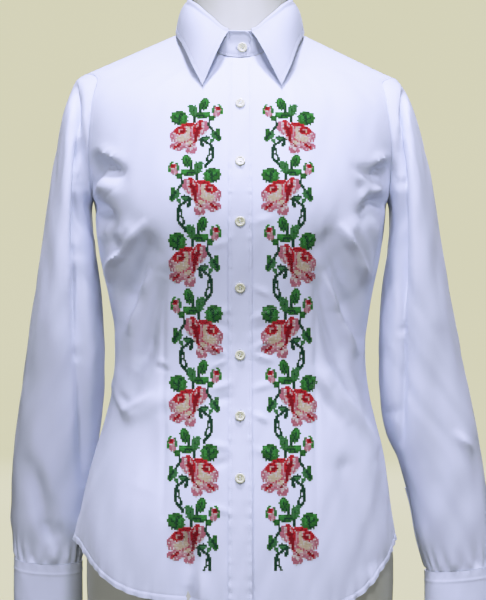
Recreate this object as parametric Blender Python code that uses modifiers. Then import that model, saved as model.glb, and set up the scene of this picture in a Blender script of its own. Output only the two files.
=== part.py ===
"""An embroidered shirt on a limbless dress form, at real size.

Metres, +Z up. The front faces -Y, and the wearer's left is at +X. The origin is the middle of the
form's flat base. Every piece that a maker would cut and sew on is one closed wall of cloth, lofted
through rings that are worked out from the tables below. Angles round the body are measured from the
front, so 90 degrees is the wearer's left side seam and 180 degrees the middle of the back.
"""

import math
from collections import namedtuple

import bmesh
import bpy
import numpy as np

# Cloth
CLOTH = 0.0012
STAND_CLOTH = 0.0015
CUFF_CLOTH = 0.0020
SEAM_GAP = 0.0003
METRES_PER_DEGREE = 0.0026

# Heights of the shirt on its form
ARMPIT_HEIGHT = 0.580
SHOULDER_TIP_HEIGHT = 0.729
LEFT_SHOULDER_DROP = 0.0055
HEM_SKEW = 0.007
ARMHOLE_HALF_DEPTH = 0.050

# Neck and collar
NECK_HALF_WIDTH = 0.0620
NECK_FRONT = 0.0620
NECK_BACK = 0.0680
FOLD_HALF_WIDTH = 0.0585
FOLD_FRONT = 0.0600
FOLD_BACK = 0.0620
STAND_DROP = 0.0022
STAND_LAP_ANGLE = 11.3
STAND_END_ROUND = 0.009
LEAF_START_ANGLE = 12.5
LEAF_FRONT_SHIFT = 0.0025

# Button band
PLACKET_OUTER_EDGE = 0.0132
PLACKET_INNER_EDGE = -0.0125
FRONT_JOIN = -0.0105
PLACKET_END = 2.87

# Buttons
BUTTON_DIAMETER = 0.0114
BUTTON_THICKNESS = 0.0024
BUTTON_DISH = 0.0007
BUTTON_STEPS = 14
BUTTON_HEIGHTS = [0.6844, 0.6184, 0.5519, 0.4789, 0.4037, 0.3361, 0.2676]
COLLAR_BUTTON_RISE = 0.36
COLLAR_BUTTON_ANGLE = 2.5

# Sleeves and cuffs
CUFF_HEIGHT = 0.060
CUFF_PROUD = 0.0008
CUFF_LAP_ANGLE = 32.0
SLEEVE_PLACKET_ROWS = 3
SLEEVE_PLACKET_TRIM = 0.05
TROUGH_WIDTH_ANGLE = 20.0
TROUGH_CROWDING = 0.4
TROUGH_FULL_DEPTH = 0.006

# Dress form
FORM_TOP_HEIGHT = 0.876
FORM_NECK_CLEARANCE = 0.0040
FORM_NECK_RADIUS = 0.0530
STUMP_INSET = 0.010
STUMP_ANGLE = 32.0

# How finely the walls are cut up
SKIRT_ROWS = 16
ARMHOLE_ROWS = 12
SHOULDER_ROWS = 4
FRONT_COLUMNS = 14
BACK_COLUMNS = 20
FORM_COLUMNS = 36

BodySection = namedtuple("BodySection", "height half_width front back square middle")
BODY_SECTIONS = [
    BodySection(0.105, 0.186, 0.131, 0.130, 2.3, -0.0050),
    BodySection(0.184, 0.186, 0.130, 0.130, 2.3, -0.0050),
    BodySection(0.231, 0.179, 0.127, 0.126, 2.3, -0.0040),
    BodySection(0.278, 0.170, 0.121, 0.118, 2.3, -0.0015),
    BodySection(0.348, 0.152, 0.111, 0.100, 2.25, 0.0),
    BodySection(0.405, 0.146, 0.107, 0.091, 2.2, 0.0),
    BodySection(0.442, 0.149, 0.110, 0.090, 2.25, 0.0),
    BodySection(0.477, 0.155, 0.117, 0.093, 2.3, 0.0),
    BodySection(0.512, 0.162, 0.127, 0.098, 2.4, 0.0),
    BodySection(0.547, 0.167, 0.135, 0.104, 2.5, 0.0),
    BodySection(0.582, 0.172, 0.136, 0.109, 2.5, 0.0),
    BodySection(0.620, 0.180, 0.128, 0.112, 2.4, 0.0),
    BodySection(0.655, 0.185, 0.1165, 0.112, 2.3, 0.0),
    BodySection(0.685, 0.185, 0.1035, 0.107, 2.2, 0.0),
    BodySection(0.707, 0.184, 0.0905, 0.099, 1.9, 0.0),
    BodySection(0.729, 0.180, 0.0730, 0.086, 1.35, 0.0),
]

Edge = namedtuple("Edge", "angle height")
HEM = [
    Edge(0, 0.121),
    Edge(42, 0.127),
    Edge(52, 0.135),
    Edge(60, 0.148),
    Edge(70, 0.169),
    Edge(78, 0.181),
    Edge(90, 0.186),
    Edge(100, 0.183),
    Edge(107, 0.174),
    Edge(115, 0.157),
    Edge(128, 0.136),
    Edge(145, 0.119),
    Edge(180, 0.108),
]
NECKLINE = [
    Edge(0, 0.7405),
    Edge(15, 0.7430),
    Edge(30, 0.7495),
    Edge(45, 0.7570),
    Edge(60, 0.7660),
    Edge(75, 0.7735),
    Edge(90, 0.7800),
    Edge(120, 0.7915),
    Edge(150, 0.7990),
    Edge(180, 0.8020),
]
COLLAR_FOLD = [
    Edge(0, 0.7740),
    Edge(12, 0.7748),
    Edge(34, 0.7910),
    Edge(60, 0.8080),
    Edge(90, 0.8175),
    Edge(120, 0.8280),
    Edge(150, 0.8370),
    Edge(180, 0.8410),
]

LeafEdge = namedtuple("LeafEdge", "angle x y z")
LEAF_EDGE = [
    LeafEdge(12.5, 0.0445, -0.0935, 0.7065),
    LeafEdge(30, 0.0555, -0.0795, 0.7300),
    LeafEdge(50, 0.0668, -0.0480, 0.7580),
    LeafEdge(70, 0.0735, -0.0200, 0.7715),
    LeafEdge(90, 0.0755, 0.0050, 0.7785),
    LeafEdge(120, 0.0680, 0.0390, 0.7850),
    LeafEdge(150, 0.0415, 0.0670, 0.7900),
    LeafEdge(180, 0.0000, 0.0775, 0.7930),
]

LeafRoll = namedtuple("LeafRoll", "out up")
LEAF_ROLL = [
    LeafRoll(-0.0012, -0.0003),
    LeafRoll(0.0008, 0.0000),
    LeafRoll(0.0030, -0.0012),
    LeafRoll(0.0044, -0.0050),
]
LEAF_FALL_ROWS = 4

# A fold runs between two places on the body; a depth below zero is a trough.
Fold = namedtuple("Fold", "angle height to_angle to_height width depth")
BODY_FOLDS = [
    Fold(-70, 0.617, -55, 0.604, 0.011, -0.005),
    Fold(-73, 0.569, -60, 0.555, 0.011, -0.005),
    Fold(-50, 0.541, -72, 0.498, 0.011, 0.004),
    Fold(-43, 0.520, -62, 0.468, 0.018, -0.006),
    Fold(-75, 0.378, -58, 0.339, 0.012, 0.003),
    Fold(-58, 0.339, -42, 0.354, 0.012, 0.003),
    Fold(-24, 0.195, -25, 0.110, 0.014, -0.006),
    Fold(70, 0.603, 56, 0.592, 0.011, -0.005),
    Fold(73, 0.579, 57, 0.562, 0.011, -0.005),
    Fold(51, 0.545, 70, 0.495, 0.011, 0.004),
    Fold(41, 0.525, 59, 0.460, 0.018, -0.006),
    Fold(49, 0.380, 70, 0.295, 0.014, 0.003),
    Fold(52, 0.275, 62, 0.170, 0.014, -0.004),
    Fold(-92, 0.200, -88, 0.184, 0.016, 0.003),
    Fold(140, 0.470, 165, 0.430, 0.016, -0.004),
    Fold(-138, 0.462, -160, 0.425, 0.016, -0.004),
    Fold(152, 0.230, 150, 0.105, 0.018, -0.005),
    Fold(-156, 0.220, -158, 0.105, 0.018, -0.005),
]

# One ring of a sleeve: its edge beside the body, its outer edge, its middle and half depth along Y,
# and how deep the long trough down its front is.
SleeveRing = namedtuple(
    "SleeveRing", "in_x in_height out_x out_height middle half_depth trough"
)
RIGHT_SLEEVE = [
    SleeveRing(0.1720, 0.5800, 0.1800, 0.7290, 0.000, 0.050, 0.000),
    SleeveRing(0.1735, 0.5745, 0.1890, 0.7235, 0.001, 0.051, 0.001),
    SleeveRing(0.1740, 0.5660, 0.1985, 0.7070, 0.002, 0.053, 0.003),
    SleeveRing(0.1730, 0.5540, 0.2070, 0.6820, 0.003, 0.056, 0.004),
    SleeveRing(0.1715, 0.5400, 0.2140, 0.6430, 0.004, 0.058, 0.005),
    SleeveRing(0.1695, 0.5220, 0.2210, 0.5980, 0.006, 0.060, 0.006),
    SleeveRing(0.1670, 0.4980, 0.2290, 0.5510, 0.008, 0.060, 0.007),
    SleeveRing(0.1640, 0.4680, 0.2370, 0.5000, 0.011, 0.059, 0.007),
    SleeveRing(0.1615, 0.4360, 0.2450, 0.4500, 0.015, 0.057, 0.007),
    SleeveRing(0.1600, 0.4040, 0.2515, 0.4070, 0.020, 0.054, 0.006),
    SleeveRing(0.1605, 0.3720, 0.2570, 0.3720, 0.027, 0.051, 0.006),
    SleeveRing(0.1630, 0.3400, 0.2622, 0.3400, 0.033, 0.048, 0.005),
    SleeveRing(0.1665, 0.3080, 0.2668, 0.3080, 0.039, 0.045, 0.004),
    SleeveRing(0.1715, 0.2760, 0.2706, 0.2760, 0.045, 0.042, 0.003),
    SleeveRing(0.1765, 0.2440, 0.2728, 0.2440, 0.050, 0.039, 0.002),
    SleeveRing(0.1810, 0.2120, 0.2736, 0.2120, 0.053, 0.035, 0.001),
    SleeveRing(0.1860, 0.1840, 0.2722, 0.1860, 0.053, 0.030, 0.000),
    SleeveRing(0.1895, 0.1540, 0.2695, 0.1580, 0.051, 0.024, 0.000),
]
LEFT_SLEEVE = [
    SleeveRing(0.1720, 0.5800, 0.1800, 0.7290, 0.000, 0.050, 0.000),
    SleeveRing(0.1740, 0.5745, 0.1870, 0.7180, 0.000, 0.051, 0.001),
    SleeveRing(0.1750, 0.5660, 0.1955, 0.7050, 0.000, 0.053, 0.003),
    SleeveRing(0.1750, 0.5540, 0.2045, 0.6820, 0.001, 0.056, 0.004),
    SleeveRing(0.1745, 0.5410, 0.2135, 0.6500, 0.002, 0.058, 0.005),
    SleeveRing(0.1730, 0.5230, 0.2230, 0.6040, 0.003, 0.060, 0.006),
    SleeveRing(0.1700, 0.4980, 0.2320, 0.5540, 0.005, 0.060, 0.006),
    SleeveRing(0.1670, 0.4680, 0.2415, 0.5000, 0.007, 0.059, 0.006),
    SleeveRing(0.1645, 0.4360, 0.2510, 0.4500, 0.009, 0.057, 0.006),
    SleeveRing(0.1635, 0.4040, 0.2590, 0.4070, 0.011, 0.054, 0.005),
    SleeveRing(0.1640, 0.3720, 0.2665, 0.3720, 0.013, 0.052, 0.004),
    SleeveRing(0.1665, 0.3400, 0.2735, 0.3400, 0.014, 0.050, 0.003),
    SleeveRing(0.1730, 0.3080, 0.2803, 0.3080, 0.015, 0.047, 0.001),
    SleeveRing(0.1860, 0.2760, 0.2852, 0.2760, 0.016, 0.044, 0.000),
    SleeveRing(0.1955, 0.2440, 0.2900, 0.2440, 0.016, 0.040, 0.000),
    SleeveRing(0.2025, 0.2120, 0.2945, 0.2120, 0.015, 0.036, 0.000),
    SleeveRing(0.2085, 0.1820, 0.2975, 0.1840, 0.013, 0.030, 0.000),
    SleeveRing(0.2195, 0.1470, 0.2995, 0.1545, 0.012, 0.024, 0.000),
]
# side is -1 for the wearer's right. The lap is where the cuff's ends cross, in degrees round the
# ring from its outer edge by way of the front. The dip is how much lower the cuff's front hangs.
Arm = namedtuple("Arm", "name side rings trough_x lap_angle dip")
ARMS = [
    Arm("right", -1, RIGHT_SLEEVE, 0.190, 214.0, 0.0045),
    Arm("left", 1, LEFT_SLEEVE, 0.188, 196.0, 0.0010),
]

# How far the form lies inside the shirt's outer surface, by height.
FormInset = namedtuple("FormInset", "height inset")
FORM_INSETS = [
    FormInset(0.000, 0.024),
    FormInset(0.050, 0.012),
    FormInset(0.105, 0.0085),
    FormInset(0.184, 0.0085),
    FormInset(0.280, 0.013),
    FormInset(0.400, 0.016),
    FormInset(0.480, 0.014),
    FormInset(0.560, 0.009),
    FormInset(0.620, 0.0085),
    FormInset(0.680, 0.0050),
    FormInset(0.729, 0.0024),
]
FORM_HEIGHTS = [
    0.0, 0.004, 0.040, 0.090, 0.140, 0.190, 0.235, 0.280, 0.320, 0.360, 0.400, 0.440,
    0.480, 0.515, 0.550, 0.585, 0.620, 0.655, 0.685, 0.708,
]
FORM_SHOULDER_STEPS = [0.0, 0.12, 0.30, 0.50, 0.75, 0.97]
FORM_BASE_ROUNDING = 0.004

Material = namedtuple("Material", "name color roughness metallic")
WHITE_COTTON = Material("white_cotton", (0.86, 0.87, 0.92, 1.0), 0.62, 0.0)
PEARL_BUTTON = Material("pearl_button", (0.90, 0.90, 0.84, 1.0), 0.25, 0.0)
FORM_SHELL = Material("form_shell", (0.72, 0.73, 0.72, 1.0), 0.45, 0.0)


def flat_tangents(steps, slopes):
    """Tangents of a curve through points that never overshoots them."""
    tangents = np.concatenate([slopes[:1], np.zeros(len(slopes) - 1), slopes[-1:]])
    for i in range(1, len(slopes)):
        if slopes[i - 1] * slopes[i] > 0:
            tangents[i] = 2 * slopes[i - 1] * slopes[i] / (slopes[i - 1] + slopes[i])
    return tangents


def spline_tangents(steps, slopes):
    """Tangents of the curve through points whose curvature has no jumps."""
    count = len(slopes) + 1
    pulls, sums = np.zeros((count, count)), np.zeros(count)
    pulls[0, :2], sums[0] = (2, 1), 3 * slopes[0]
    pulls[-1, -2:], sums[-1] = (1, 2), 3 * slopes[-1]
    for i in range(1, count - 1):
        before, after = 1 / steps[i - 1], 1 / steps[i]
        pulls[i, i - 1 : i + 2] = before, 2 * (before + after), after
        sums[i] = 3 * (slopes[i - 1] * before + slopes[i] * after)
    return np.linalg.solve(pulls, sums)


def smooth_curve(xs, ys, find_tangents=flat_tangents):
    """A cubic through the points, as a function."""
    xs, ys = np.array(xs, float), np.array(ys, float)
    steps = np.diff(xs)
    tangents = find_tangents(steps, np.diff(ys) / steps)

    def value(x):
        x = np.clip(x, xs[0], xs[-1])
        i = np.clip(np.searchsorted(xs, x) - 1, 0, len(steps) - 1)
        u = (x - xs[i]) / steps[i]
        return (
            (2 * u**3 - 3 * u**2 + 1) * ys[i]
            + (u**3 - 2 * u**2 + u) * steps[i] * tangents[i]
            + (3 * u**2 - 2 * u**3) * ys[i + 1]
            + (u**3 - u**2) * steps[i] * tangents[i + 1]
        )

    return value


def columns_of(rows, key, find_tangents=flat_tangents):
    """Each column of a table as a smooth function of its key column, or of the row number."""
    keys = range(len(rows)) if key is None else [getattr(row, key) for row in rows]
    curves = {}
    for name in rows[0]._fields:
        if name != key:
            curves[name] = smooth_curve(keys, [getattr(r, name) for r in rows], find_tangents)
    return curves


body = columns_of(BODY_SECTIONS, "height", spline_tangents)
plain_hem_height = columns_of(HEM, "angle")["height"]
neckline_height = columns_of(NECKLINE, "angle")["height"]
fold_height = columns_of(COLLAR_FOLD, "angle")["height"]
leaf_edge = columns_of(LEAF_EDGE, "angle")
form_inset = columns_of(FORM_INSETS, "height")["inset"]


def smooth_step(x, low, high):
    """0 below low, 1 above high, and smooth between."""
    u = np.clip((x - low) / (high - low), 0, 1)
    return u * u * (3 - 2 * u)


def from_front(angle):
    """The angle in degrees from the front, 0 to 180, on whichever side it is."""
    return np.abs((np.degrees(angle) + 180) % 360 - 180)


def hem_height(angle):
    """The hem's height. Its front curve rises higher towards the wearer's right side."""
    skew = HEM_SKEW * np.sin(2 * angle) * (np.cos(angle) > 0)
    return plain_hem_height(from_front(angle)) - skew


def unit(vectors):
    return vectors / np.linalg.norm(vectors, axis=-1, keepdims=True)


def ring_point(angle, half_width, front, back, square, height):
    """A point of a horizontal section with rounded corners."""
    across = np.abs(np.sin(angle)) / half_width
    along = np.abs(np.cos(angle)) / np.where(np.cos(angle) > 0, front, back)
    radius = (across**square + along**square) ** (-1 / square)
    height = np.broadcast_to(height, np.shape(radius))
    return np.stack([radius * np.sin(angle), -radius * np.cos(angle), height], -1)


def section_point(angle, height, shift=1.0):
    """The shirt's plain section. Its skirt hangs a little to one side, by the shift given."""
    point = ring_point(
        angle,
        body["half_width"](height),
        body["front"](height),
        body["back"](height),
        body["square"](height),
        height,
    )
    point[..., 0] += shift * body["middle"](height)
    return settled(point)


def settled(point):
    """The wearer's left shoulder hangs a little lower than the right one."""
    outwards = np.clip((point[..., 0] - 0.06) / 0.12, 0, 1)
    drop = LEFT_SHOULDER_DROP * outwards * smooth_step(point[..., 2], 0.62, 0.72)
    return point - np.stack([0 * drop, 0 * drop, drop], -1)


def neckline_point(angle):
    height = neckline_height(from_front(angle))
    return ring_point(angle, NECK_HALF_WIDTH, NECK_FRONT, NECK_BACK, 2.0, height)


def fold_point(angle):
    """The ridge where the collar turns over."""
    height = fold_height(from_front(angle))
    return ring_point(angle, FOLD_HALF_WIDTH, FOLD_FRONT, FOLD_BACK, 2.0, height)


def body_point(angle, level):
    """The shirt's body without folds: level 0 is its hem, 1 its shoulder tips, 2 its neckline."""
    low = hem_height(angle)
    height = low + (SHOULDER_TIP_HEIGHT - low) * np.minimum(level, 1)
    rise = np.clip(level - 1, 0, 1)[..., None]
    return section_point(angle, height) * (1 - rise) + neckline_point(angle) * rise


def body_normal(angle, level):
    """The plain body's normal, evened out over the little that each step spans."""
    around = body_point(angle + 0.03, level) - body_point(angle - 0.03, level)
    upwards = body_point(angle, level + 0.004) - body_point(angle, level - 0.004)
    return unit(np.cross(around, upwards))


def fold_lift(folds, angle, height):
    """How far the folds lift the cloth off its plain shape."""
    degrees = (np.degrees(angle) + 180) % 360 - 180
    place = np.stack([degrees * METRES_PER_DEGREE, height], -1)
    lift = np.zeros(np.shape(height))
    for fold in folds:
        start = np.array([fold.angle * METRES_PER_DEGREE, fold.height])
        run = np.array([fold.to_angle * METRES_PER_DEGREE, fold.to_height]) - start
        along = np.clip((place - start) @ run / (run @ run), 0, 1)
        distance = np.linalg.norm(place - start - along[..., None] * run, axis=-1)
        lift = lift + fold.depth * np.exp(-((distance / fold.width) ** 2))
    return lift


def shirt_point(angle, level, out=0.0):
    """The cloth's outer surface with its folds, moved out by a distance."""
    point = body_point(angle, level)
    lift = fold_lift(BODY_FOLDS, angle, point[..., 2]) + out
    return point + body_normal(angle, level) * lift[..., None]


def armhole_height(turn):
    """Height on the armhole's edge, from its top at turn 0 to its bottom at turn pi."""
    middle = (ARMPIT_HEIGHT + SHOULDER_TIP_HEIGHT) / 2
    return middle + (SHOULDER_TIP_HEIGHT - ARMPIT_HEIGHT) / 2 * np.cos(turn)


def level_at(station, angle):
    """Stations 0 to 1 climb from hem to armpit, 1 to 2 past the armhole, 2 to 3 to the neckline."""
    if station > 2:
        return np.full(np.shape(angle), station - 1)
    low = hem_height(angle)
    if station <= 1:
        height = low + (ARMPIT_HEIGHT - low) * station
    else:
        height = armhole_height(math.pi * (2 - station))
    return (height - low) / (SHOULDER_TIP_HEIGHT - low)


def stations():
    return np.concatenate(
        [
            np.linspace(0, 1, SKIRT_ROWS + 1),
            np.linspace(1, 2, ARMHOLE_ROWS + 1)[1:],
            np.linspace(2, 3, SHOULDER_ROWS + 1)[1:],
        ]
    )


def angle_at_x(station, x):
    """The angle near the front where the cloth passes x."""
    angles = np.radians(np.linspace(-30, 30, 241))
    return np.interp(x, body_point(angles, level_at(station, angles))[:, 0], angles)


def side_angle(station, gap):
    """The angle of a panel's side edge: the side seam, the armhole and then the shoulder seam.
    A gap below zero is on the front's side of the seam, and one above it on the back's."""
    reach = 0.0
    if 1 < station < 2:
        reach = ARMHOLE_HALF_DEPTH * math.sin(math.pi * (station - 1))
    angles = np.radians(np.linspace(10, 170, 641))
    depths = body_point(angles, level_at(station, angles))[:, 1]
    return np.interp(math.copysign(reach, gap) + gap, depths, angles)


def even_angles(station, start, end, columns):
    """Angles that part a row of the body into equal lengths."""
    angles = np.linspace(start, end, 121)
    points = body_point(angles, level_at(station, angles))
    lengths = np.linalg.norm(np.diff(points, axis=0), axis=1)
    run = np.concatenate([[0], np.cumsum(lengths)])
    return np.interp(np.linspace(0, run[-1], columns + 1), run, angles)


def wall_mesh(name, outer, inner, tube):
    """A closed wall between two grids of points. A tube's columns go all the way round."""
    rows, columns = outer.shape[:2]
    mesh = bmesh.new()
    skins = [
        [[mesh.verts.new(point) for point in row] for row in grid] for grid in (outer, inner)
    ]
    spans = columns if tube else columns - 1
    for skin in skins:
        for row in range(rows - 1):
            for column in range(spans):
                beside = (column + 1) % columns
                mesh.faces.new(
                    (
                        skin[row][column],
                        skin[row][beside],
                        skin[row + 1][beside],
                        skin[row + 1][column],
                    )
                )
    outline = [[(row, c), (row, (c + 1) % columns)] for row in (0, rows - 1) for c in range(spans)]
    if not tube:
        outline += [[(r, c), (r + 1, c)] for c in (0, columns - 1) for r in range(rows - 1)]
    for (row_a, column_a), (row_b, column_b) in outline:
        mesh.faces.new(
            (
                skins[0][row_a][column_a],
                skins[0][row_b][column_b],
                skins[1][row_b][column_b],
                skins[1][row_a][column_a],
            )
        )
    bmesh.ops.recalc_face_normals(mesh, faces=mesh.faces)
    data = bpy.data.meshes.new(name)
    mesh.to_mesh(data)
    mesh.free()
    data.shade_smooth()
    data.set_sharp_from_angle(angle=math.radians(35))
    return data


def material_of(finish):
    material = bpy.data.materials.get(finish.name)
    if material is None:
        material = bpy.data.materials.new(finish.name)
        material.use_nodes = True
        shader = material.node_tree.nodes["Principled BSDF"]
        shader.inputs["Base Color"].default_value = finish.color
        shader.inputs["Roughness"].default_value = finish.roughness
        shader.inputs["Metallic"].default_value = finish.metallic
    return material


def add_object(name, data, finish, collection):
    obj = bpy.data.objects.new(name, data)
    data.materials.append(material_of(finish))
    collection.objects.link(obj)
    return obj


def grid_normals(grid, tube):
    """Normals of a grid of points, outwards where its columns run counter-clockwise from above."""
    if tube:
        around = np.roll(grid, -1, axis=1) - np.roll(grid, 1, axis=1)
    else:
        around = np.gradient(grid, axis=1)
    return unit(np.cross(np.gradient(grid, axis=0), around))


def panel_grid(start_angle, end_angle, columns, out, last=3.0):
    """Points of the body between two edges, each given as a function of the station."""
    rows = []
    for station in np.minimum(stations(), last):
        angles = even_angles(station, start_angle(station), end_angle(station), columns)
        rows.append(shirt_point(angles, level_at(station, angles), out))
    return np.array(rows)


def body_panel(name, start_angle, end_angle, columns, collection):
    outer = panel_grid(start_angle, end_angle, columns, 0.0)
    inner = panel_grid(start_angle, end_angle, columns, -CLOTH)
    data = wall_mesh(name, outer, inner, tube=False)
    add_object(name, data, WHITE_COTTON, collection)


def front_and_back(collection):
    half_gap = SEAM_GAP / 2
    body_panel(
        "front_left",
        lambda s: angle_at_x(s, FRONT_JOIN + half_gap),
        lambda s: side_angle(s, -half_gap),
        FRONT_COLUMNS,
        collection,
    )
    body_panel(
        "front_right",
        lambda s: -side_angle(s, -half_gap),
        lambda s: angle_at_x(s, FRONT_JOIN - half_gap),
        FRONT_COLUMNS,
        collection,
    )
    body_panel(
        "back",
        lambda s: side_angle(s, half_gap),
        lambda s: 2 * math.pi - side_angle(s, half_gap),
        BACK_COLUMNS,
        collection,
    )


def placket_grid(out):
    """The button placket, on top of both fronts. Its middle column is where the buttons go."""
    return panel_grid(
        lambda s: angle_at_x(s, PLACKET_INNER_EDGE),
        lambda s: angle_at_x(s, PLACKET_OUTER_EDGE),
        2,
        out,
        PLACKET_END,
    )


def button_placket(collection):
    outer, inner = placket_grid(SEAM_GAP + CLOTH), placket_grid(SEAM_GAP)
    data = wall_mesh("button_placket", outer, inner, tube=False)
    add_object("button_placket", data, WHITE_COTTON, collection)


def stand_point(angle, rise, out=0.0):
    """The collar stand's outer face. Its upper end laps over the lower one at the front."""
    foot = neckline_point(angle) + np.array([0, 0, 1.5 * SEAM_GAP])
    top = fold_point(angle) - np.array([0, 0, STAND_DROP])
    past_middle = np.maximum(-angle, angle - 2 * math.pi) * NECK_FRONT
    to_end = math.radians(STAND_LAP_ANGLE) * NECK_FRONT - past_middle
    corner = np.clip(1 - to_end / STAND_END_ROUND, 0, 1)
    top[..., 2] -= STAND_END_ROUND * (1 - np.sqrt(1 - corner**2))
    point = foot * (1 - rise) + top * rise
    lap = (STAND_CLOTH + SEAM_GAP) * smooth_step(np.degrees(angle), 326, 346)
    outwards = unit(point * np.array([1, 1, 0]))
    return point + outwards * (lap + out)[..., None]


def collar_stand(collection):
    lap = STAND_LAP_ANGLE
    angles = np.radians(np.linspace(-lap, 360 + lap, 37))
    rises = np.array([0.0, 0.5, 1.0])
    outer = np.array([stand_point(angles, rise) for rise in rises])
    inner = np.array([stand_point(angles, rise, -STAND_CLOTH) for rise in rises])
    data = wall_mesh("collar_stand", outer, inner, tube=False)
    add_object("collar_stand", data, WHITE_COTTON, collection)


def leaf_edge_point(angle):
    """The collar leaf's free edge, on the left as tabled and mirrored on the right."""
    degrees = from_front(angle)
    side = np.where(np.sin(angle) < 0, -1, 1)
    shift = LEAF_FRONT_SHIFT * (1 - smooth_step(degrees, 12, 70))
    x = side * leaf_edge["x"](degrees) + shift
    return np.stack([x, leaf_edge["y"](degrees), leaf_edge["z"](degrees)], -1)


def leaf_rows(angles):
    """The leaf from its root above the stand, over the fold and down to its free edge."""
    fold = fold_point(angles)
    outwards = unit(fold * np.array([1, 1, 0]))
    rows = [fold + outwards * roll.out + np.array([0, 0, roll.up]) for roll in LEAF_ROLL]
    for fall in np.linspace(0, 1, LEAF_FALL_ROWS + 1)[1:]:
        rows.append(rows[len(LEAF_ROLL) - 1] * (1 - fall) + leaf_edge_point(angles) * fall)
    return np.array(rows)


def collar_leaf(collection):
    angles = np.radians(np.linspace(LEAF_START_ANGLE, 360 - LEAF_START_ANGLE, 33))
    outer = leaf_rows(angles)
    inner = outer + grid_normals(outer, tube=False) * CLOTH
    data = wall_mesh("collar_leaf", outer, inner, tube=False)
    add_object("collar_leaf", data, WHITE_COTTON, collection)


def armhole_point(arm, turn):
    """The body's armhole edge; turn 0 is its top, pi / 2 its front and pi its bottom."""
    heights = armhole_height(turn)
    depths = -ARMHOLE_HALF_DEPTH * np.sin(turn)
    angles = arm.side * np.radians(np.linspace(10, 170, 641))
    points = []
    for height, depth in zip(heights, depths):
        section = section_point(angles, height)
        x, z = (np.interp(depth, section[:, 1], section[:, axis]) for axis in (0, 2))
        points.append([x, depth, z])
    return np.array(points)


def sleeve_ring(arm, row, turns):
    """One ring of a sleeve without its trough, and the trough's turn and depth there."""
    ring = {name: curve(row) for name, curve in columns_of(arm.rings, None).items()}
    centre_x = (ring["in_x"] + ring["out_x"]) / 2
    half_x = (ring["out_x"] - ring["in_x"]) / 2
    centre_z = (ring["in_height"] + ring["out_height"]) / 2
    half_z = (ring["out_height"] - ring["in_height"]) / 2
    trough_turn = math.acos(np.clip((arm.trough_x - centre_x) / half_x, -0.9, 0.5))
    crowding = TROUGH_CROWDING * min(1, ring["trough"] / TROUGH_FULL_DEPTH)
    turns = turns - crowding * np.sin(turns - trough_turn)
    points = np.stack(
        [
            arm.side * (centre_x + half_x * np.cos(turns)),
            ring["middle"] - ring["half_depth"] * np.sin(turns),
            centre_z + half_z * np.cos(turns),
        ],
        -1,
    )
    points[:, 2] -= arm.dip * smooth_step(-ring["out_height"], -0.30, -0.16) * np.sin(turns)
    if row < 1:
        seam = armhole_point(arm, turns) + np.array([arm.side * (SEAM_GAP + 0.0001), 0, 0])
        points = seam * (1 - row) + points * row
    away = np.degrees(np.angle(np.exp(1j * (turns - trough_turn))))
    depth = ring["trough"] * np.exp(-((away / TROUGH_WIDTH_ANGLE) ** 2))
    return points, depth


def sleeve_grids(arm):
    """Outer and inner points of a sleeve, a ring to a row, from the armhole to the cuff."""
    count = 2 * ARMHOLE_ROWS
    turns = np.linspace(0, 2 * math.pi, count, endpoint=False)
    rings = [sleeve_ring(arm, row, turns) for row in range(len(arm.rings))]
    plain = np.array([points for points, _ in rings])
    plain[-1, :, 2] += 1.5 * SEAM_GAP
    depths = np.array([depth for _, depth in rings])[..., None]
    facing = -arm.side
    outer = plain - facing * grid_normals(plain, tube=True) * depths
    inner = outer - facing * grid_normals(outer, tube=True) * CLOTH
    return outer, inner


def cuff_point(arm, turn, drop, out=0.0):
    """The cuff's outer face; drop 0 is its top. Past a full turn it laps over its own start."""
    ring = arm.rings[-1]
    centre_x = (ring.in_x + ring.out_x) / 2
    half_x = (ring.out_x - ring.in_x) / 2
    centre_z = (ring.in_height + ring.out_height) / 2
    half_z = (ring.out_height - ring.in_height) / 2
    beyond = np.degrees(turn) - arm.lap_angle
    lap = (CUFF_CLOTH + SEAM_GAP) * smooth_step(beyond, 325, 357)
    facing = unit(
        np.stack(
            [ring.half_depth * np.cos(turn) * arm.side, -half_x * np.sin(turn), 0 * turn], -1
        )
    )
    point = np.stack(
        [
            arm.side * (centre_x + half_x * np.cos(turn)),
            ring.middle - ring.half_depth * np.sin(turn),
            centre_z + half_z * np.cos(turn) - arm.dip * np.sin(turn) - drop * CUFF_HEIGHT,
        ],
        -1,
    )
    return point + facing * (lap + CUFF_PROUD + out)[..., None]


def cuff(arm, collection):
    name = f"cuff_{arm.name}"
    turns = np.radians(np.linspace(arm.lap_angle, arm.lap_angle + 360 + CUFF_LAP_ANGLE, 29))
    drops = [0.0, 1.0]
    outer = np.array([cuff_point(arm, turns, drop) for drop in drops])
    inner = np.array([cuff_point(arm, turns, drop, -CUFF_CLOTH) for drop in drops])
    data = wall_mesh(name, outer, inner, tube=False)
    add_object(name, data, WHITE_COTTON, collection)


def sleeve_and_placket(arm, collection):
    """A sleeve, and the placket strip above its cuff, which is made from the sleeve's points."""
    outer, inner = sleeve_grids(arm)
    data = wall_mesh(f"sleeve_{arm.name}", outer, inner, tube=True)
    add_object(f"sleeve_{arm.name}", data, WHITE_COTTON, collection)

    normals = -arm.side * grid_normals(outer, tube=True)
    column = round(outer.shape[1] * arm.lap_angle / 360)
    patch = (slice(-1 - SLEEVE_PLACKET_ROWS, None), slice(column - 1, column + 2))
    under = outer[patch] + normals[patch] * SEAM_GAP
    over = outer[patch] + normals[patch] * (SEAM_GAP + CLOTH)
    for strip in (under, over):
        strip[-1] += (strip[-2] - strip[-1]) * SLEEVE_PLACKET_TRIM
    name = f"sleeve_placket_{arm.name}"
    data = wall_mesh(name, over, under, tube=False)
    add_object(name, data, WHITE_COTTON, collection)


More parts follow.
